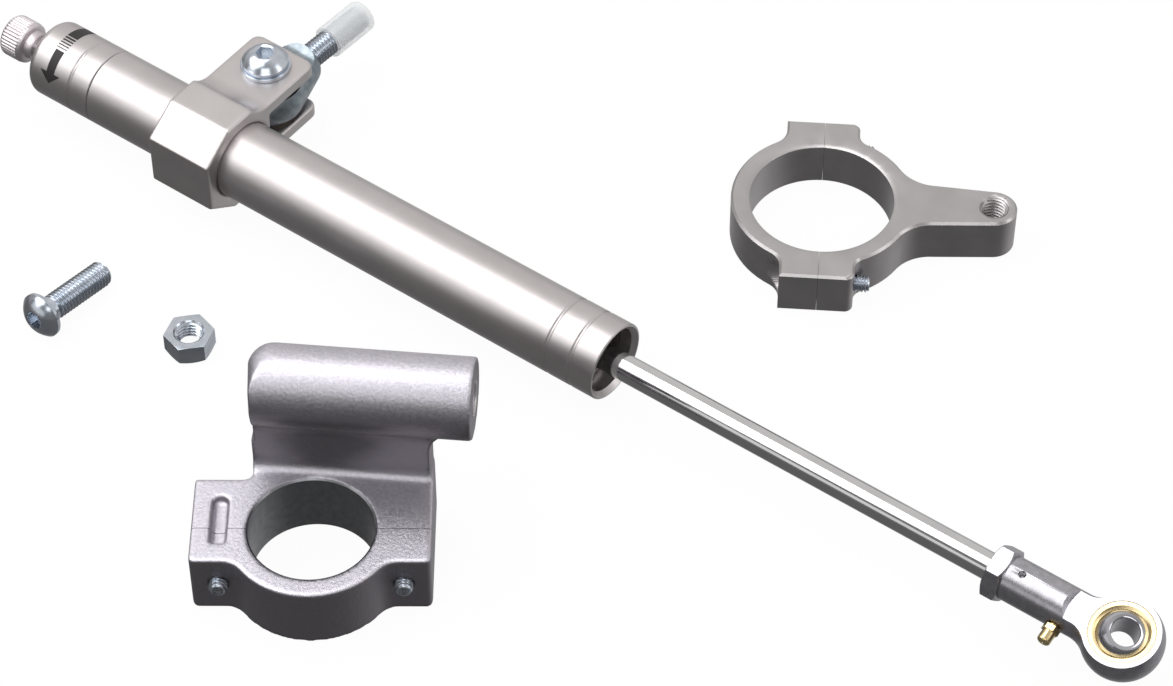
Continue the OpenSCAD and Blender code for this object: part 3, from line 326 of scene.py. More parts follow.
# %% [markdown]
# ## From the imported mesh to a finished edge
# A machined or cast piece has no perfectly sharp edge: a fine chamfer or radius catches the light there.
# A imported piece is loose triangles, so a copy is merged, its flat faces are joined again and its sharp edges
# are bevelled. A Bevel modifier could do the last step, but on merged triangles it would also cut the facets.
# A cast or blasted piece is rounded all over, so its copy is remeshed into one skin and relaxed instead.

# %% Basic shapes
def shifted(bm, x=0.0, y=0.0, z=0.0):
    """Moves a shape, in millimetres."""
    bmesh.ops.translate(bm, verts=bm.verts, vec=(x * MM, y * MM, z * MM))
    return bm


def turned(bm, angle, axis):
    """Turns a shape about X, Y or Z through the origin."""
    bmesh.ops.rotate(bm, verts=bm.verts, cent=(0, 0, 0), matrix=Matrix.Rotation(angle, 3, axis))
    return bm


def placed(bm, matrix):
    """Moves a shape by a matrix."""
    bmesh.ops.transform(bm, matrix=matrix, verts=bm.verts)
    return bm


def joined(target, other):
    """Adds another shape's faces to a shape, as parts of the same piece."""
    mesh = bpy.data.meshes.new("joining")
    other.to_mesh(mesh)
    other.free()
    target.from_mesh(mesh)
    bpy.data.meshes.remove(mesh)
    return target


def cone(sides, low_r, high_r, depth):
    """A closed cone, or a bar where both radii are equal, along Z about the origin. In millimetres."""
    bm = bmesh.new()
    bmesh.ops.create_cone(bm, segments=sides, radius1=low_r * MM, radius2=high_r * MM, depth=depth * MM,
                          cap_ends=True)
    return bm


def block(low, high):
    """A box between two corners in millimetres."""
    bm = bmesh.new()
    bmesh.ops.create_cube(bm, size=MM)
    for v in bm.verts:
        v.co = Vector([(low[i] + high[i]) / 2000 + v.co[i] * (high[i] - low[i]) for i in range(3)])
    return bm


def prism(outline, start, end):
    """A closed outline of [y, z] millimetres drawn out along X."""
    bm = bmesh.new()
    face = bm.faces.new([bm.verts.new((start * MM, y * MM, z * MM)) for y, z in outline])
    drawn_out = bmesh.ops.extrude_face_region(bm, geom=[face])["geom"]
    far_end = [v for v in drawn_out if isinstance(v, bmesh.types.BMVert)]
    bmesh.ops.translate(bm, verts=far_end, vec=((end - start) * MM, 0, 0))
    bmesh.ops.recalc_face_normals(bm, faces=bm.faces)
    return bm


def everything(bm):
    """All points, edges and faces of a shape."""
    return list(bm.verts) + list(bm.edges) + list(bm.faces)


print("basic shapes ready")

# %% Edges, copies and pieces
def sharp_edges(bm, angle):
    """Edges that fold by more than an angle in degrees."""
    return [e for e in bm.edges if len(e.link_faces) == 2 and e.calc_face_angle() > radians(angle)]


def bevelled(bm, edges, width_mm, segments=2, clamp=True):
    """Bevels the given edges and tells how many they were."""
    bmesh.ops.bevel(bm, geom=edges, offset=width_mm * MM, offset_type="OFFSET", segments=segments,
                    profile=0.5, affect="EDGES", clamp_overlap=clamp, material=-1)
    return len(edges)


def copy_of(node, join_flats=True):
    """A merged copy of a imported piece, with its flat faces joined again."""
    source = frame["nodes"][node]
    bm = bmesh.new()
    bm.from_mesh(source.data)
    placed(bm, source.matrix_world)
    bmesh.ops.remove_doubles(bm, verts=bm.verts, dist=1.5e-6)
    if join_flats:
        bmesh.ops.dissolve_limit(bm, angle_limit=radians(0.8), verts=bm.verts, edges=bm.edges,
                                 use_dissolve_boundaries=False, delimit={"NORMAL"})
    return bm


def publish(bm, name, body, material, stands_for=(), smooth=32.0):
    """Turns a shape into a piece in the scene, shades it and lets it ride on its body."""
    bmesh.ops.remove_doubles(bm, verts=bm.verts, dist=2e-7)
    bmesh.ops.recalc_face_normals(bm, faces=bm.faces)
    bmesh.ops.triangulate(bm, faces=[f for f in bm.faces if len(f.verts) > 4])
    mesh = bpy.data.meshes.new(name)
    bm.to_mesh(mesh)
    bm.free()
    mesh.shade_smooth()
    mesh.set_sharp_from_angle(angle=radians(smooth))
    mesh.materials.append(material)
    piece = bpy.data.objects.new(name, mesh)
    bpy.context.scene.collection.objects.link(piece)
    flat_faces = piece.modifiers.new("flat_faces", "WEIGHTED_NORMAL")
    flat_faces.mode, flat_faces.keep_sharp = "FACE_AREA", True
    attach(piece, body)
    if stands_for:
        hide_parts(*stands_for)
    return piece


print("copies and edges ready")

# %% Skins and cuts
def evaluated(bm, name, prepare):
    """Runs modifiers on a shape and gives back the result as a new one."""
    mesh = bpy.data.meshes.new(name)
    bm.to_mesh(mesh)
    bm.free()
    helper = bpy.data.objects.new(name, mesh)
    bpy.context.scene.collection.objects.link(helper)
    prepare(helper)
    bpy.context.view_layer.update()
    result = bpy.data.meshes.new_from_object(helper.evaluated_get(bpy.context.evaluated_depsgraph_get()))
    bpy.data.objects.remove(helper)
    bpy.data.meshes.remove(mesh)
    out = bmesh.new()
    out.from_mesh(result)
    bpy.data.meshes.remove(result)
    return out


def cast_skin(bm, voxel_mm, relax):
    """One skin over overlapping solids, with its edges rounded by relaxing it."""
    def prepare(helper):
        skin = helper.modifiers.new("skin", "REMESH")
        skin.mode, skin.voxel_size = "VOXEL", voxel_mm / 1000
        soft = helper.modifiers.new("soft", "SMOOTH")
        soft.factor, soft.iterations = 0.5, relax
    return evaluated(bm, "casting", prepare)


def carved(bm, cutters):
    """Cuts solids out of a shape."""
    others = []

    def prepare(helper):
        for i, cutter in enumerate(cutters):
            mesh = bpy.data.meshes.new("cutter")
            cutter.to_mesh(mesh)
            cutter.free()
            other = bpy.data.objects.new("cutter", mesh)
            bpy.context.scene.collection.objects.link(other)
            others.append(other)
            cut = helper.modifiers.new(f"cut_{i}", "BOOLEAN")
            cut.operation, cut.solver, cut.object = "DIFFERENCE", "EXACT", other
    result = evaluated(bm, "carving", prepare)
    for other in others:
        mesh = other.data
        bpy.data.objects.remove(other)
        bpy.data.meshes.remove(mesh)
    return result


print("skins and cuts ready")

# %% [markdown]
# ## Turned pieces
# The tube, cap, knob, rod, balls and rings were turned on a lathe, so they are spun from a profile here.
# A cylinder primitive could be cut up instead, but a profile holds every groove and chamfer in one list.

# %% Lathe helper
AXIS_H = 16.0


def spun(profile, steps, closed=True):
    """A body turned about X from points of [x, radius] in millimetres, listed round its section."""
    bm = bmesh.new()
    corners = [bm.verts.new((x * MM, 0.0, r * MM)) for x, r in profile]
    pairs = list(zip(corners, corners[1:])) + ([(corners[-1], corners[0])] if closed else [])
    rim = [bm.edges.new(pair) for pair in pairs]
    bmesh.ops.spin(bm, geom=corners + rim, cent=(0, 0, 0), axis=(1, 0, 0), angle=2 * pi, steps=steps,
                   use_merge=True)
    bmesh.ops.remove_doubles(bm, verts=bm.verts, dist=1e-7)
    return bm


def rounded(x, r, radius, start, end, count):
    """Points of a round corner about [x, r], from one angle to another in degrees."""
    return [(x + radius * cos(radians(start + (end - start) * i / count)),
             r + radius * sin(radians(start + (end - start) * i / count))) for i in range(count + 1)]


print("axis height", AXIS_H, "mm")

# %% Damper tube
TUBE_R, TUBE_BORE_R = 12.0, 10.0
TUBE_REAR, TUBE_FRONT = -40.6, 148.8
BROKEN_EDGE = 0.25
GROOVE_DEEP = 0.4


def groove(x):
    """A turned groove with fine broken edges, as points along the outside."""
    half = [(0.72, TUBE_R), (0.6, TUBE_R - 0.05), (0.28, TUBE_R - GROOVE_DEEP + 0.05),
            (0.2, TUBE_R - GROOVE_DEEP)]
    return [(x - out, r) for out, r in half] + [(x + out, r) for out, r in reversed(half)]


tube_outside = [(TUBE_REAR, TUBE_R - BROKEN_EDGE), (TUBE_REAR + BROKEN_EDGE, TUBE_R), *groove(132.0),
                *groove(140.4), *rounded(TUBE_FRONT - 0.5, TUBE_R - 0.5, 0.5, 90, 0, 3)]
tube_mouth = [(TUBE_FRONT, 11.3), (148.7, 11.15), (147.3, TUBE_BORE_R)]
circlip_groove = [(143.5, TUBE_BORE_R), (143.5, 10.8), (142.2, 10.8), (142.2, TUBE_BORE_R)]
tube_bm = spun(tube_outside + tube_mouth + circlip_groove + [(TUBE_REAR, TUBE_BORE_R)], 160)
tube = publish(shifted(tube_bm, z=AXIS_H), "turned_tube", "tube", anodised,
               ["body_tube"])
print("tube faces", len(tube.data.polygons))

# %% End cap
CAP_REAR, CAP_FRONT, CAP_ROUND = -64.8, -40.8, 2.6
SHAFT_HOLE_R, CHAMBER_R, CHAMBER_REAR = 3.3, 6.75, -58.8
cap_corner = rounded(CAP_REAR + CAP_ROUND, TUBE_R - CAP_ROUND, CAP_ROUND, 180, 90, 8)
cap_outside = [(CAP_REAR, TUBE_R - CAP_ROUND), *cap_corner, *groove(-48.1),
               (CAP_FRONT - BROKEN_EDGE, TUBE_R), (CAP_FRONT, TUBE_R - BROKEN_EDGE)]
cap_inside = [(CAP_FRONT, CHAMBER_R), (CHAMBER_REAR, CHAMBER_R), (CHAMBER_REAR, SHAFT_HOLE_R)]
cap_bm = spun([(CAP_REAR, SHAFT_HOLE_R)] + cap_outside + cap_inside, 160)
end_cap = publish(shifted(cap_bm, z=AXIS_H), "turned_end_cap", "tube", anodised,
                  ["end_cap"])
print("cap faces", len(end_cap.data.polygons))

# %% Rod
ROD_R, ROD_FRONT = 4.0, 295.9
rod_spigot = [(96.3, 0.0), (96.3, 2.5), (96.8, 3.0), (115.7, 3.0)]
rod_thread = [(275.8, ROD_R - 0.1), (ROD_FRONT - 0.6, ROD_R - 0.1), (ROD_FRONT, 3.3), (ROD_FRONT, 0.0)]
rod_bm = spun(rod_spigot + [(115.7, ROD_R), (275.5, ROD_R)] + rod_thread, 96, closed=False)
rod = publish(shifted(rod_bm, z=AXIS_H), "ground_rod", "rod", chromed, ["piston_rod"])
print("rod faces", len(rod.data.polygons))

# %% [markdown]
# ## Screw threads
# A thread is one groove that winds along the shaft. A Screw modifier could sweep its section, but the ends
# are hard to close. Here a finely divided shaft is spun first, and each point's radius then follows the
# helix: it falls from crest to root and back once per pitch, and fades out near both ends.

# %% Thread helper
THREAD_SHARE = 0.61
M8_PITCH, M8_CREST, M8_TAP_R = 1.25, 3.95, 3.4
UPRIGHT = (0, 0, 1)


def threaded(start, end, crest, pitch, taper_in, taper_out, around=40, per_turn=8, wall=None):
    """A threaded rod along X, or with wall a sleeve whose thread is inside, as in a tapped hole."""
    count = max(8, ceil((end - start) / pitch * per_turn))
    depth = THREAD_SHARE * pitch
    xs = [start + (end - start) * i / count for i in range(count + 1)]
    if wall is None:
        bm = spun([(start, 0.0)] + [(x, crest) for x in xs] + [(end, 0.0)], around, closed=False)
    else:
        bm = spun([(x, crest) for x in xs] + [(end, wall), (start, wall)], around)
    sign = 1 if wall is None else -1
    for v in bm.verts:
        x, r = v.co.x / MM, sqrt(v.co.y ** 2 + v.co.z ** 2) / MM
        if abs(r - crest) > 0.01:
            continue
        phase = (x / pitch - atan2(v.co.z, v.co.y) / (2 * pi)) % 1.0
        fall = min(1.0, max(0.0, abs(2 * phase - 1) * 1.35 - 0.175))
        edge = max(1 - (x - start) / taper_in, 1 - (end - x) / taper_out, 0.0)
        deep = max(fall * depth, edge * depth)
        scale = (r - sign * deep) / r
        v.co.y, v.co.z = v.co.y * scale, v.co.z * scale
    return bm


def turned_to(bm, place, direction):
    """Moves a piece made along +X to a place in millimetres, pointing in a direction."""
    turn = Vector(direction).to_track_quat("X", "Z").to_matrix().to_4x4()
    return placed(bm, Matrix.Translation(Vector(place) * MM) @ turn)


def hexagon_side(half_flats, angle):
    """How far the side of a hexagon lies from its middle in a direction."""
    return half_flats / cos((angle % (pi / 3)) - pi / 6)


print("an M8 thread is", round(THREAD_SHARE * M8_PITCH, 2), "mm deep")

# %% [markdown]
# ## Button-head bolts
# The bolts are M8 button heads with a hexagonal socket. The head is spun from its domed profile, and the
# socket is a hexagonal recess whose walls are joined to the dome. A Boolean would cut it too, but leaves
# long thin faces.

# %% Button-head bolt
HEAD_R, HEAD_H, HEAD_FACE = 7.0, 4.4, 4.05
SOCKET_HALF, SOCKET_DEEP = 2.5, 2.75
UNTHREADED = 3.0


def button_head():
    """A button head with its socket: the seat is at x = 0 and the head reaches to +X."""
    dome_r = (HEAD_R ** 2 + HEAD_H ** 2) / (2 * HEAD_H) + 0.6
    radii = [6.75 - (6.75 - 3.3) * i / 12 for i in range(13)]
    top = [(HEAD_H - dome_r + sqrt(dome_r ** 2 - r * r), r) for r in radii]
    lift = 4.3 - top[-1][0]
    top = [(x + lift, r) for x, r in top]
    skirt = [(0.0, 4.2), (0.0, 6.7), (0.25, 6.95), (0.6, HEAD_R), (top[0][0] - 0.25, HEAD_R)]
    bm = spun(skirt + top + [(HEAD_FACE, 3.12)], 96, closed=False)
    mouth = [v for v in bm.verts if abs(v.co.x / MM - HEAD_FACE) < 1e-3]
    for v in mouth:
        angle = atan2(v.co.z, v.co.y)
        side = hexagon_side(SOCKET_HALF, angle)
        v.co.y, v.co.z = side * MM * cos(angle), side * MM * sin(angle)
    rim = [e for e in bm.edges if e.is_boundary and all(v in mouth for v in e.verts)]
    walls = bmesh.ops.extrude_edge_only(bm, edges=rim)["geom"]
    foot = [v for v in walls if isinstance(v, bmesh.types.BMVert)]
    bmesh.ops.translate(bm, verts=foot, vec=(-SOCKET_DEEP * MM, 0, 0))
    bmesh.ops.contextual_create(bm, geom=[e for e in walls if isinstance(e, bmesh.types.BMEdge)])
    return bm


def button_bolt(shank):
    """A button-head bolt along -X, of a given length under its head."""
    bm = button_head()
    joined(bm, threaded(-shank, -UNTHREADED, M8_CREST, M8_PITCH, 1.0, 1.0, around=64, per_turn=12))
    neck = [(-UNTHREADED - 0.8, 0.0), (-UNTHREADED - 0.8, 3.3), (-UNTHREADED + 0.1, M8_CREST),
            (0.05, M8_CREST), (0.05, 0.0)]
    joined(bm, spun(neck, 40, closed=False))
    return joined(bm, spun([(0.0, 0.0), (0.0, 4.2)], 96, closed=False))


# The clevis bolt stands on the washer, over the middle of the ball. The loose bolt lies on head and tip.
CLEVIS = (0, 25.4, 18.1)
HEAD_SEAT_Z = 29.9
LOOSE_BOLT_LEN, LOOSE_BOLT_TURN = 25.0, radians(87.9)
clevis_bolt_bm = turned_to(button_bolt(23.7), (CLEVIS[0], CLEVIS[1], HEAD_SEAT_Z), UPRIGHT)
publish(clevis_bolt_bm, "zinc_clevis_bolt", "root", zinc, ["clevis_bolt"])
lean = atan2(HEAD_R - M8_CREST, LOOSE_BOLT_LEN - 0.6)
along = Vector((-cos(LOOSE_BOLT_TURN) * cos(lean), -sin(LOOSE_BOLT_TURN) * cos(lean), sin(lean)))
loose_bolt_bm = turned_to(button_bolt(LOOSE_BOLT_LEN), (-1.3, -76.6, HEAD_R * cos(lean)), along)
loose_bolt = publish(loose_bolt_bm, "zinc_mounting_bolt", "root", zinc, ["mounting_bolt"])
print("bolt faces", len(loose_bolt.data.polygons))

# %% [markdown]
# ## Nut
# A nut is a hexagonal bar whose corners are cut back by a cone, which leaves the curved edge on each flat.
# A Boolean with a cone could cut them. Here a fine bar is pushed into a hexagon, and each point beyond the
# cone's foot is lowered by the cone's slope. Insets lead from there into the bore, which takes a threaded
# sleeve.

# %% Nut
def at_radius(v, radius):
    """Moves a point to a radius about Z, in millimetres."""
    angle = atan2(v.co.y, v.co.x)
    v.co.x, v.co.y = radius * MM * cos(angle), radius * MM * sin(angle)


def hex_nut(across, height, bore, top_slope=8, foot_slope=30):
    """A chamfered nut standing on z = 0 with its axis along Z, without its thread."""
    bm = shifted(cone(72, across, across, height), z=height / 2)
    for v in bm.verts:
        at_radius(v, hexagon_side(across / 2, atan2(v.co.y, v.co.x)))
    corner = across / 2 - 0.1
    for v in bm.verts:
        r = sqrt(v.co.x ** 2 + v.co.y ** 2) / MM
        top = v.co.z > height / 2 * MM
        drop = max(0.0, (r - corner) * tan(radians(top_slope if top else foot_slope)))
        v.co.z = (height - drop) * MM if top else drop * MM
    caps = [f for f in bm.faces if len(f.verts) > 4]
    bmesh.ops.inset_region(bm, faces=caps, thickness=0.6 * MM, use_even_offset=False)
    for f in caps:
        top = f.calc_center_median().z > height / 2 * MM
        for v in f.verts:
            at_radius(v, corner)
            v.co.z = height * MM if top else 0.0
    for inset, radius, sink in ((0.5, bore + 0.55, 0.0), (0.3, bore, 0.6)):
        bmesh.ops.inset_region(bm, faces=caps, thickness=inset * MM)
        for f in caps:
            top = f.calc_center_median().z > height / 2 * MM
            for v in f.verts:
                at_radius(v, radius)
                v.co.z += (-sink if top else sink) * MM
    rims = [e for f in caps for e in f.edges]
    bmesh.ops.delete(bm, geom=caps, context="FACES_ONLY")
    bmesh.ops.bridge_loops(bm, edges=[e for e in rims if e.is_valid and e.is_boundary])
    return bm


NUT_FLATS, NUT_H, NUT_TURN = 13.0, 6.5, radians(46)
nut_bm = hex_nut(NUT_FLATS, NUT_H, 4.05)
nut_thread = threaded(0.4, NUT_H - 0.4, M8_TAP_R, M8_PITCH, 0.5, 0.5, wall=4.04)
joined(nut_bm, turned(nut_thread, radians(-90), "Y"))
shifted(turned(nut_bm, NUT_TURN, "Z"), 37.1, -56.8)
nut = publish(nut_bm, "zinc_nut", "root", zinc, ["mounting_nut"], smooth=25)
print("nut faces", len(nut.data.polygons))

# %% [markdown]
# ## Adjuster knob
# The knob is turned, and its grip is knurled with straight ribs by a wheel pressed into it.
# Thirty-six ribs could be one rib in an Array, but here the turned body has six points per rib,
# and each point in a valley is moved inwards, so the ribs fade out on the rounded rim as real ones do.

# %% Knurled knob
KNOB_REAR, KNOB_FRONT, GRIP_R = -81.2, -69.8, 6.65
RIBS, RIB_DEEP = 36, 0.3
RIM_X, RIM_ROUND = -79.6, 1.6
knob_face = [(KNOB_REAR, 0.0), (KNOB_REAR, 3.6), (-80.9, 4.0), (-80.9, 4.7)]
knob_grip = [*rounded(RIM_X, GRIP_R - RIM_ROUND, RIM_ROUND, 180, 90, 6),
             *[(RIM_X + 0.62 * i, GRIP_R) for i in range(1, 9)], (-74.3, GRIP_R)]
knob_neck = [(-74.2, 6.5), (-73.3, 6.4), (-72.7, 5.8), (-72.6, 4.6), (-72.3, 4.4), (-70.1, 4.4),
             (KNOB_FRONT, 4.6)]
shaft_socket = [(KNOB_FRONT, 3.22), (-77.8, 3.22), (-77.8, 0.0)]
knob_bm = spun(knob_face + knob_grip + knob_neck + shaft_socket, RIBS * 6, closed=False)
for v in knob_bm.verts:
    r = sqrt(v.co.y ** 2 + v.co.z ** 2) / MM
    if v.co.x < -74.25 * MM and r > 5.2:
        from_valley = abs((atan2(v.co.z, v.co.y) / (2 * pi) * RIBS) % 1.0 - 0.5) * 2
        cut = RIB_DEEP * max(0.0, 1 - 1.5 * from_valley) * min(1.0, (r - 5.1) / 1.2)
        v.co.y, v.co.z = v.co.y * (r - cut) / r, v.co.z * (r - cut) / r
knob = publish(shifted(knob_bm, z=AXIS_H), "knurled_knob", "knob", knurled_metal,
               ["adjuster_knob"], 50)
print("knob faces", len(knob.data.polygons))

# %% [markdown]
# ## Balls, races and the nipple
# Each rod end holds a steel ball with flat ends and a bore, in a thin brass race.
# A UV sphere has poles where the bore goes, so the ball is spun from its arc instead.

# %% Balls and races
ROD_EYE = (316.4, 0, 16)
ROLL, TILT, SWING = radians(15.0), radians(12.0), radians(3.0)
BALL_R, BALL_HALF, BALL_BORE_R = 7.95, 6.0, 4.0
RACE_IN, RACE_OUT, RACE_HALF = 8.0, 9.2, 4.4
rod_ball_up = (sin(TILT), -sin(ROLL) * cos(TILT), cos(ROLL) * cos(TILT))
rod_race_up = (0.0, -sin(ROLL), cos(ROLL))
ball_arc = [(x, sqrt(BALL_R ** 2 - x * x)) for x in [-BALL_HALF + 0.5 * i for i in range(25)]]
ball_bore = [(BALL_HALF, 4.45), (5.85, 4.15), (5.6, BALL_BORE_R), (-5.6, BALL_BORE_R), (-5.85, 4.15),
             (-BALL_HALF, 4.45)]
race_arc = [(x, sqrt(RACE_IN ** 2 - x * x)) for x in [3.6 - 0.72 * i for i in range(11)]]
race_outside = [(-RACE_HALF, 7.9), (-RACE_HALF, 9.05), (-4.25, RACE_OUT), (4.25, RACE_OUT), (RACE_HALF, 9.05),
                (RACE_HALF, 7.9)]
for name, node, place, up, body in (("rod_end_steel_ball", "rod_end_ball", ROD_EYE, rod_ball_up, "rod_ball"),
                                    ("clevis_steel_ball", "clevis_ball", CLEVIS, UPRIGHT, "root")):
    ball = turned_to(spun(ball_arc + ball_bore, 96), place, up)
    publish(ball, name, body, bearing_steel, [node])
for name, node, place, up, body in (("rod_end_brass_race", "rod_end_race", ROD_EYE, rod_race_up, "rod"),
                                    ("stud_brass_race", "stud_race", CLEVIS, UPRIGHT, "stud")):
    race = turned_to(spun(race_outside + race_arc, 96), place, up)
    publish(race, name, body, brass, [node])
print("two balls and two races")

# %% Grease nipple
NIPPLE_BACK = 17.7
nipple_foot = (ROD_EYE[0] - NIPPLE_BACK, ROD_EYE[1], ROD_EYE[2])
nipple_out = (0.0, -cos(ROLL), -sin(ROLL))
nipple_stem = [(4.9, 0.0), (4.9, 1.6), (6.7, 1.6), (6.7, 1.95), (9.3, 1.95)]
nipple_head = rounded(11.05, 1.05, 0.9, 90, 0, 6) + [(11.95, 0.35), (11.75, 0.25), (11.7, 0.0)]
nipple_bm = spun(nipple_stem + nipple_head, 48, closed=False)
collar = cone(6, 2.6, 2.6, 1.7)
bevelled(collar, list(collar.edges), 0.12)
joined(nipple_bm, shifted(turned(collar, radians(90), "Y"), 7.6))
nipple = publish(turned_to(nipple_bm, nipple_foot, nipple_out), "brass_grease_nipple", "rod", brass,
                 ["grease_nipple"])
print("nipple faces", len(nipple.data.polygons))

# %% [markdown]
# ## Threaded stud and its protector
# The male rod end ends in an M8 thread, kept clean by a pushed-on plastic cap through which it shows.
# Its eye is a ball that runs out into a cone, milled flat on both sides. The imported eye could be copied, but
# it meets its shank in a hollow and not in a cone. So it is spun from the outline in the photograph, and the
# flats, their round run-outs and the seat of the race are cut with Booleans. The thread is laid on after.

# %% Stud eye
EYE_R, EYE_HALF = 11.6, 4.5
CONE_SLOPE = 18.4
RUN_OUT_X, RUN_OUT_R = 14, 5
stud_out = (sin(SWING), cos(SWING), 0.0)
eye_outline = [(-EYE_R, 0.0)] + rounded(0, 0, EYE_R, 180, 90 - CONE_SLOPE, 30)[1:]
eye_outline += [(16.0, 6.9), (16.9, 6.45), (17.5, 5.9), (17.9, 5.1), (18.1, 4.2), (18.3, 3.2), (18.3, 0.0)]
cutters = []
for side in (-1, 1):
    low, high = sorted((side * EYE_HALF, side * 20))
    cutters.append(block((-20, -20, low), (RUN_OUT_X, 20, high)))
    run_out = turned(cone(64, RUN_OUT_R, RUN_OUT_R, 40), pi / 2, "X")
    cutters.append(shifted(run_out, RUN_OUT_X, 0, side * (EYE_HALF + RUN_OUT_R)))
cutters.append(cone(96, 9.25, 9.25, 20))
stud_bm = carved(spun(eye_outline, 96, closed=False), cutters)
bmesh.ops.remove_doubles(stud_bm, verts=stud_bm.verts, dist=2e-6)
print("stud edges", bevelled(stud_bm, sharp_edges(stud_bm, 40), 0.25))
joined(stud_bm, threaded(17.9, 42.0, 4.0, M8_PITCH, 0.4, 0.9))
stud = publish(turned_to(stud_bm, CLEVIS, stud_out), "threaded_stud_eye", "stud", plated,
               ["stud_eye"])
# The shank past the cone is bright like the screws.
stud.data.materials.append(zinc)
for face in stud.data.polygons:
    from_eye = (face.center / MM - Vector(CLEVIS)).dot(Vector(stud_out))
    face.material_index = 1 if from_eye > 18.0 else 0
print("stud faces", len(stud.data.polygons))

# %% Protector and washer
cap_wall = [(27.3, 4.05), (27.3, 4.95), (27.5, 5.2), (42.7, 5.2), (43.3, 4.9), (43.6, 4.3), (43.6, 0.0)]
cap_inside = [(42.3, 0.0), (42.3, 4.05), (27.3, 4.05)]
protector_bm = joined(spun(cap_wall, 64, closed=False), spun(cap_inside, 64, closed=False))
publish(turned_to(protector_bm, CLEVIS, stud_out), "frosted_protector", "thread_cap", polythene,
        ["stud_cap"], 40)
washer_profile = [(28.5, 4.2), (28.5, 7.5), (28.65, 7.7), (29.7, 7.7), (29.88, 7.5), (29.88, 4.2)]
washer_bm = turned_to(spun(washer_profile, 96), (CLEVIS[0], CLEVIS[1], 0), UPRIGHT)
washer = publish(washer_bm, "zinc_washer", "root", zinc, ["clevis_washer"])
print("washer faces", len(washer.data.polygons))

# %% [markdown]
# Both clamps are held by M5 socket screws whose bright threads stand out. Modelling them anew would mean
# fitting them to their holes again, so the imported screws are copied, thinned along their shanks and covered
# with a thread. Its pitch is 1 mm and not an M5's 0.8, because the finer one doesn't show in the picture.

# %% Places of the two clamps
FORK, FORK_TURN = Vector((159.3, 89.9, 0)), radians(31.9)
FRAME, FRAME_TURN = Vector((119.7, -101.1, 0)), radians(36.1)
FORK_SCREW_Y, FRAME_SCREW_X = 26.85, 25.3
fork_in = (cos(FORK_TURN), sin(FORK_TURN), 0.0)
frame_front = (sin(FRAME_TURN), -cos(FRAME_TURN), 0.0)


def from_local(base, turn, x, y, z):
    """A point given in a laid-out piece's own directions, as millimetres in the shared frame."""
    return Vector((base.x + x * cos(turn) - y * sin(turn), base.y + x * sin(turn) + y * cos(turn), z))


fork_places = [from_local(FORK, FORK_TURN, 0, side * FORK_SCREW_Y, 7.5) for side in (-1, 1)]
frame_places = [from_local(FRAME, FRAME_TURN, side * FRAME_SCREW_X, 0, 10) for side in (-1, 1)]
print("screws at", [tuple(round(c, 1) for c in place) for place in fork_places + frame_places])

# %% Clamp screws
SCREW_R, SCREW_CREST, SCREW_PITCH = 2.5, 2.62, 1.0


def resize_round(bm, place, direction, radius, new_radius, start=-99, end=99, reach=0.06):
    """Moves the points of a round wall or shank about an axis to another radius. In millimetres."""
    origin, axis = Vector(place) * MM, Vector(direction).normalized()
    count = 0
    for v in bm.verts:
        offset = v.co - origin
        along = offset.dot(axis)
        radial = offset - axis * along
        if start < along / MM < end and abs(radial.length / MM - radius) < reach:
            v.co += radial * (new_radius / (radial.length / MM) - 1)
            count += 1
    return count


def dressed_screws(node, name, body, places, direction, seat, shoulder, tip):
    """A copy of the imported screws, thinned where a thread is laid over them."""
    bm = copy_of(node)
    for place in places:
        thinned = resize_round(bm, place, direction, SCREW_R, 1.95, seat - 0.9)
        thinned += resize_round(bm, place, direction, 1.8, 1.6, shoulder, reach=0.1)
        print(node, "points thinned", thinned)
    bevelled(bm, sharp_edges(bm, 32), 0.15)
    for place in places:
        thread = threaded(shoulder, tip, SCREW_CREST, SCREW_PITCH, 0.6, 0.9, per_turn=12)
        joined(bm, turned_to(thread, place, direction))
    return publish(bm, name, body, zinc, [node], 30)


dressed_screws("fork_clamp_screws", "fork_clamp_zinc_screws", "fork_cap", fork_places, fork_in,
               -6.2, 2.0, 15.2)
dressed_screws("frame_bracket_screws", "bracket_zinc_screws", "root", frame_places, frame_front,
               -12.4, 2.0, 14.0)
print("four clamp screws")

# %% [markdown]
# ## Fork clamp
# The clamp for the fork is milled from plate and split, with a fine chamfer on both outlines. Its packed
# halves are right apart from their edges, so they are copied. A Bevel modifier would also cut the split and
# the tapped hole, so only the edges of the outlines are chosen. The hole is widened in the copy and takes a
# threaded sleeve.

# %% Fork clamp
SPLIT_GAP, CHAMFER = 0.3, 0.7
FORK_T, FORK_ARM_LEN = 15, 51
arm_hole = from_local(FORK, FORK_TURN, FORK_ARM_LEN, 0, 0)


def past_split(point):
    """How far a point lies past the middle of the fork clamp's split, in metres."""
    return (point - FORK * MM).dot(Vector(fork_in))


def close_split(bm):
    """Moves a half's faces at the split nearly to its middle, so that the split shows as a fine line."""
    for v in bm.verts:
        gap = past_split(v.co)
        if abs(abs(gap) - SPLIT_GAP / 2000) < 0.02 * MM:
            v.co -= Vector(fork_in) * gap * 0.75


def on_outline(edge):
    """Tells whether an edge runs along the top or bottom outline, away from the split and the tapped hole."""
    a, b = (v.co for v in edge.verts)
    inside = 0.1 * MM < a.z < (FORK_T - 0.1) * MM
    clear = abs(past_split((a + b) / 2)) > 0.4 * MM and (a.xy - arm_hole.xy * MM).length > 6 * MM
    return abs(a.z - b.z) < 0.01 * MM and not inside and clear


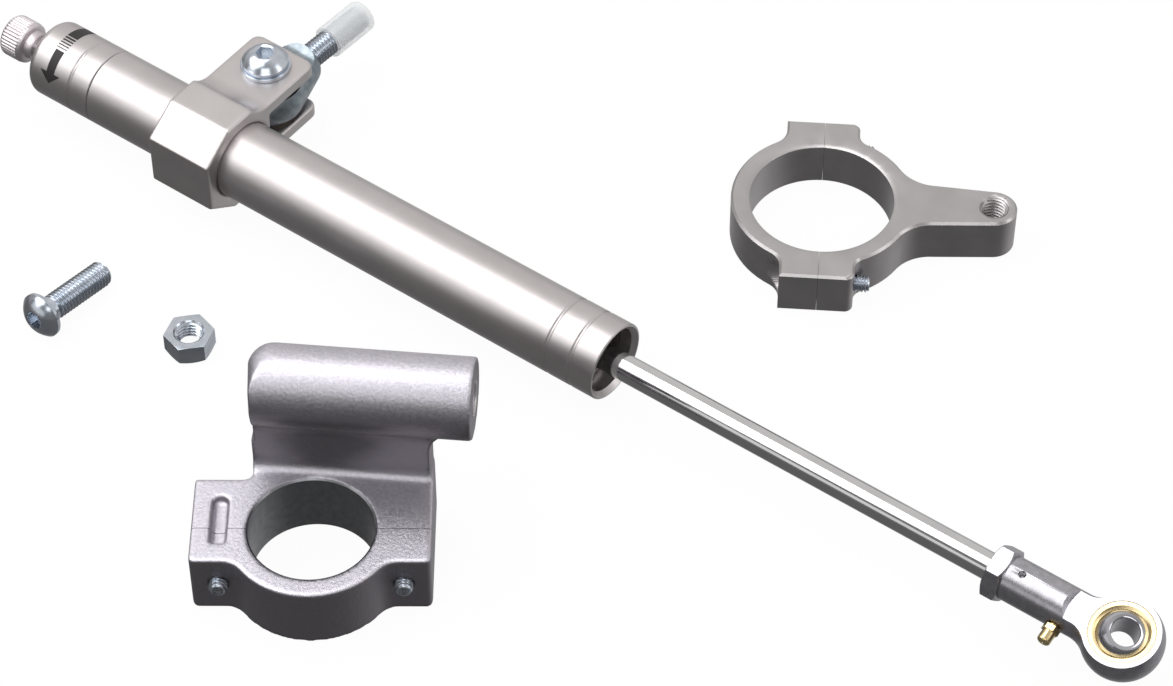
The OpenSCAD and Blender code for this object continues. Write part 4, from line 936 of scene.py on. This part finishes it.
arm_bm, fork_cap_bm = copy_of("fork_clamp_arm"), copy_of("fork_clamp_cap")
print("hole points", resize_round(arm_bm, arm_hole, UPRIGHT, M8_TAP_R, 4.03))
for label, bm in (("arm", arm_bm), ("cap", fork_cap_bm)):
    close_split(bm)
    outline = [edge for edge in sharp_edges(bm, 32) if on_outline(edge)]
    print(label, "edges", bevelled(bm, outline, CHAMFER, segments=1, clamp=False))
arm_thread = threaded(0.4, FORK_T - 0.4, M8_TAP_R, M8_PITCH, 0.4, 0.4, wall=4.02)
joined(arm_bm, turned_to(arm_thread, arm_hole, UPRIGHT))
publish(arm_bm, "milled_fork_clamp_arm", "root", milled, ["fork_clamp_arm"], 24)
publish(fork_cap_bm, "milled_fork_clamp_cap", "fork_cap", milled, ["fork_clamp_cap"],
        24)

# %% [markdown]
# ## Frame bracket
# The bracket is cast in sand, tumbled and then bored. A casting flows from one form into the next, which edge
# bevels can't give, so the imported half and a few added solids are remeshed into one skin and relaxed.
# That would also blur the split, so each half is skinned past it and then cut flat.

# %% Web and boss of the bracket
BOSS_Y, BOSS_H, BOSS_R = 24.9, 50, 11.5
BOSS_LEFT, WEB_RIGHT, BOSS_RIGHT = -17.0, 32.4, 45.0
WEB_TURN = radians(36.1 - 5.3)
boss_out = (cos(WEB_TURN), sin(WEB_TURN), 0.0)
to_frame = Matrix.Translation(FRAME * MM) @ Matrix.Rotation(FRAME_TURN, 4, "Z")
web_foot = from_local(FRAME, FRAME_TURN, 0, BOSS_Y, 0)
to_web = Matrix.Translation(web_foot * MM) @ Matrix.Rotation(WEB_TURN, 4, "Z")
bracket_bm = copy_of("frame_bracket", False)
for side in (-1, 1):
    blend = [(side * y, z) for y, z in rounded(-14, 33.7, 10, 0, 49.3, 10) + [(-2, 45), (-2, 33.7)]]
    joined(bracket_bm, placed(prism(blend, BOSS_LEFT, WEB_RIGHT), to_web))
bracket_cap_bm = copy_of("frame_bracket_cap", False)
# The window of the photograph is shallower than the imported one, so a block fills its lower part.
joined(bracket_bm, placed(block((-27.4, 0.05, 9.9), (-23.2, 11.3, 17.6)), to_frame))
joined(bracket_cap_bm, placed(block((-27.4, -5.2, 9.9), (-23.2, -0.05, 17.6)), to_frame))
print("bracket parts joined")

# %% Cast halves of the bracket
HALF_SPLIT = 0.08


def cast_half(bm, side):
    """Skins a bracket half past its split in the bracket's own directions, then cuts it flat there, so that
    the split stays a fine line."""
    placed(bm, to_frame.inverted())
    for v in bm.verts:
        if abs(v.co.y) < 0.2 * MM:
            v.co.y -= side * 1.6 * MM
    bm = cast_skin(bm, 0.46, 14)
    cut = bmesh.ops.bisect_plane(bm, geom=everything(bm), dist=1e-7, plane_co=(0, side * HALF_SPLIT * MM, 0),
                                 plane_no=(0, side, 0), clear_inner=True)
    loops = [e for e in cut["geom_cut"] if isinstance(e, bmesh.types.BMEdge)]
    bmesh.ops.triangle_fill(bm, use_beauty=True, use_dissolve=False, edges=loops)
    print("split edges", len(loops), "open edges", sum(1 for e in bm.edges if len(e.link_faces) != 2))
    return placed(bm, to_frame)


bracket_bm = cast_half(bracket_bm, 1)
bracket_cap_bm = cast_half(bracket_cap_bm, -1)

# %% Rounded left end of the boss
# The boss's left end is round at its top, as the camera sees it, and its front edge leans in.
END_ROUND, END_DRAFT = 6.5, 1.9
back = to_web.inverted()
seen_top = BOSS_H * cos(VIEW_UP) + BOSS_R
for v in bracket_bm.verts:
    x, y, z = (back @ v.co) / MM
    if z < 30 or x > 0:
        continue
    over_round = z * cos(VIEW_UP) + y * sin(VIEW_UP) - seen_top + END_ROUND
    limit = BOSS_LEFT
    if over_round > 0:
        limit = BOSS_LEFT + END_ROUND - sqrt(max(0.0, END_ROUND ** 2 - over_round ** 2))
    limit += END_DRAFT * max(0.0, min(1.0, (2 - y) / 13.5))
    v.co += Vector(boss_out) * max(0.0, limit - BOSS_LEFT) * max(0.0, x / BOSS_LEFT) * MM
bracket = publish(bracket_bm, "cast_frame_bracket", "root", cast, ["frame_bracket"], 70)
publish(bracket_cap_bm, "cast_frame_bracket_cap", "bracket_cap", cast,
        ["frame_bracket_cap"], 70)
print("bracket faces", len(bracket.data.polygons))

# %% [markdown]
# ## Bore and tapped hole of the bracket
# The bore was cut after casting, and is smooth and round where the skin is grainy. A Boolean could cut it
# again, but a skin's many small faces make that slow, so each half gets a thin liner spun through its own
# half turn. The boss gets a threaded sleeve with a countersunk mouth.

# %% Bore and tapped hole
BORE_R, BRACKET_T = 17.5, 20
HOLE_FLOOR, SINK_DEEP = 17.5, 1.5
sleeve = threaded(HOLE_FLOOR, BOSS_RIGHT - 1.4, M8_TAP_R, M8_PITCH, 0.5, 0.5, wall=4.4)
countersink = [(BOSS_RIGHT - SINK_DEEP, 3.45), (BOSS_RIGHT, 4.95), (BOSS_RIGHT, 5.15),
               (BOSS_RIGHT - SINK_DEEP, 5.15)]
joined(sleeve, spun(countersink, 64))
boss_foot = from_local(FRAME, FRAME_TURN, 0, BOSS_Y, BOSS_H)
publish(turned_to(sleeve, boss_foot, boss_out), "bracket_tapped_hole", "root", turned_metal,
        smooth=30)
for label, body, start, end in (("rear", "root", 0.2, 179.8), ("front", "bracket_cap", 180.2, 359.8)):
    liner = bmesh.new()
    section = [(BORE_R - 0.06, 0.45), (BORE_R + 0.4, 0.02), (BORE_R + 0.4, BRACKET_T - 0.02),
               (BORE_R - 0.06, BRACKET_T - 0.45)]
    across = (cos(radians(start)), sin(radians(start)))
    corners = [liner.verts.new((r * across[0] * MM, r * across[1] * MM, z * MM)) for r, z in section]
    loop = liner.faces.new(corners)
    bmesh.ops.spin(liner, geom=[loop], cent=(0, 0, 0), axis=(0, 0, 1), angle=radians(end - start), steps=90)
    # The liners' darker colour is painted shade inside the bore.
    publish(placed(liner, to_frame), "bracket_bore_" + label, body, bored, smooth=30)
print("bore lined")

# %% [markdown]
# ## Printed band
# The cap carries a printed scale: an arrow round the cap, then bars that grow thicker towards a black block.
# Ink could be a mask in the material, but thin patches stay crisp: each is a flat shape, divided finely and
# wrapped round the cap a hundredth of a millimetre proud.

# %% Ink patches
def ink_patch(outline, strip_mm=0.4, proud_mm=0.01, thick_mm=0.03):
    """A flat shape in [x, distance round the cap] millimetres, cut into strips and wrapped on the cap."""
    bm = bmesh.new()
    bmesh.ops.contextual_create(bm, geom=[bm.verts.new((x * MM, y * MM, 0)) for x, y in outline])
    low, high = min(y for _, y in outline), max(y for _, y in outline)
    cuts = int((high - low) / strip_mm)
    for i in range(1, cuts + 1):
        at = low + (high - low) * i / (cuts + 1)
        bmesh.ops.bisect_plane(bm, geom=everything(bm), plane_co=(0, at * MM, 0), plane_no=(0, 1, 0),
                               dist=1e-7)
    bmesh.ops.solidify(bm, geom=list(bm.faces), thickness=thick_mm * MM)
    lowest = min(v.co.z for v in bm.verts)
    for v in bm.verts:
        angle, r = v.co.y / (TUBE_R * MM), TUBE_R * MM + proud_mm * MM + (v.co.z - lowest)
        v.co.y, v.co.z = -r * sin(angle), r * cos(angle)
    return bm


LEFT, RIGHT = -57.6, -53.65
middle = (LEFT + RIGHT) / 2
arrow_head = [(middle, 16.4), (LEFT - 1.9, 12.8), (RIGHT + 1.8, 12.8)]
arrow_tail = [(LEFT + 0.5, 12.8), (LEFT + 0.4, 5.2), (RIGHT - 0.3, 5.2), (RIGHT - 0.5, 12.8)]
black_block = [(LEFT, -0.7), (RIGHT, -0.7), (RIGHT, -10.0), (LEFT, -10.0)]
bars = [[(LEFT, at + width / 2), (RIGHT, at + width / 2), (RIGHT, at - width / 2), (LEFT, at - width / 2)]
        for at, width in ((4.3, 0.3), (3.3, 0.38), (2.3, 0.46), (1.25, 0.56), (0.15, 0.7))]
marks = [arrow_head, arrow_tail, *bars, black_block]
band = bmesh.new()
for outline in marks:
    joined(band, ink_patch(outline))
publish(shifted(band, z=AXIS_H), "printed_scale", "tube", ink, smooth=60)
print("ink marks", len(marks))

# %% [markdown]
# ## Body clamp
# The clamp on the tube is machined and bead-blasted, which takes the sharpness off every edge.
# Bevels would meet in small patches at its ears, so it is remeshed and relaxed like the bracket, but finer.

# %% Body clamp
clamp_bm = cast_skin(copy_of("body_clamp", False), 0.36, 18)
clamp = publish(clamp_bm, "rounded_body_clamp", "root", anodised, ["body_clamp"], 75)
print("clamp faces", len(clamp.data.polygons))

# %% [markdown]
# ## Rod end
# The rod end is forged as a ball on a neck and then machined: a round cutter sunk from each side mills the
# eye flat and leaves a round step on the neck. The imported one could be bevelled, but it has no such step. So
# it is spun from the forging's outline, and Booleans take away each tool's own shape, as the machining did.
# The hexagonal collar at its end is made as the nut is.

# %% Rod end
def drill(radius, start, end, axis, place=(0, 0, 0)):
    """A cutter: a round bar along an axis from one height to another. In millimetres."""
    bm = shifted(cone(64, radius, radius, end - start), z=(start + end) / 2)
    turn = Vector(axis).to_track_quat("Z", "Y").to_matrix()
    bmesh.ops.rotate(bm, verts=bm.verts, cent=(0, 0, 0), matrix=turn)
    bmesh.ops.translate(bm, verts=bm.verts, vec=Vector(place) * MM)
    return bm


WITNESS_BACK, COLLAR_BACK = 31, 40.5
COLLAR_FLATS, COLLAR_LEN = 14.6, 5.1
housing = rounded(0, 0, EYE_R, 0, 132.3, 30) + rounded(-13.19, 14.5, 8.0, -47.7, -90, 8)[1:]
housing += [(-36.0, 6.5), (-36.0, 0.0)]
cutters = [drill(9.22, -20, 20, UPRIGHT), drill(3.95, -2, 22, (1, 0, 0), (-41, 0, 0)),
           drill(1.1, 0, 13, UPRIGHT, (-WITNESS_BACK, 0, 0)),
           drill(1.62, 0, 13, (0, -1, 0), (-NIPPLE_BACK, 0, 0))]
for side in (-1, 1):
    spotface = shifted(cone(160, 16.2, 20.2, 7.0), z=8.0)
    cutters.append(turned(spotface, pi, "X") if side < 0 else spotface)
housing_bm = carved(spun(housing, 160, closed=False), cutters)
bmesh.ops.remove_doubles(housing_bm, verts=housing_bm.verts, dist=2e-6)
# The rims of the milled faces stay sharp, because a bevel turns ragged on them.
rim = [e for e in sharp_edges(housing_bm, 40)
       if not all(abs(abs(v.co.z) - EYE_HALF * MM) < 0.01 * MM for v in e.verts)]
print("rod end edges", bevelled(housing_bm, rim, 0.25))
collar_bm = turned(turned(hex_nut(COLLAR_FLATS, COLLAR_LEN, 4.02, 30), pi / 6, "Z"), pi / 2, "Y")
shifted(collar_bm, -COLLAR_BACK)
bevelled(collar_bm, sharp_edges(collar_bm, 40), 0.35)
joined(housing_bm, collar_bm)
shifted(turned(housing_bm, ROLL, "X"), *ROD_EYE)
rod_end = publish(housing_bm, "forged_rod_end", "rod", satin_steel, ["rod_end_housing"], 35)
print("rod end faces", len(rod_end.data.polygons))

# %% [markdown]
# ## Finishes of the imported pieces
# The inner pieces, the wiper, the gland and the circlip are right as packed and only take a finish. Each
# could be named here, but the record already says what it is made of.

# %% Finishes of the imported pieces
plain_finish = {
    "anodised_aluminium": anodised, "machined_aluminium": turned_metal, "cast_aluminium": cast,
    "hard_chrome": chromed, "satin_steel": satin_steel, "zinc_plate": zinc, "brass": brass, "rubber": rubber,
    "frosted_plastic": polythene,
}
slots = {entry["node"]: entry["material_slot"] for entry in frame["record"]["subparts"]}
for name, packed in frame["nodes"].items():
    chosen = spring_steel if name == "circlip" else plain_finish[slots[name]]
    packed.data.materials.clear()
    packed.data.materials.append(chosen)
print("finishes given to", len(frame["nodes"]), "pieces")
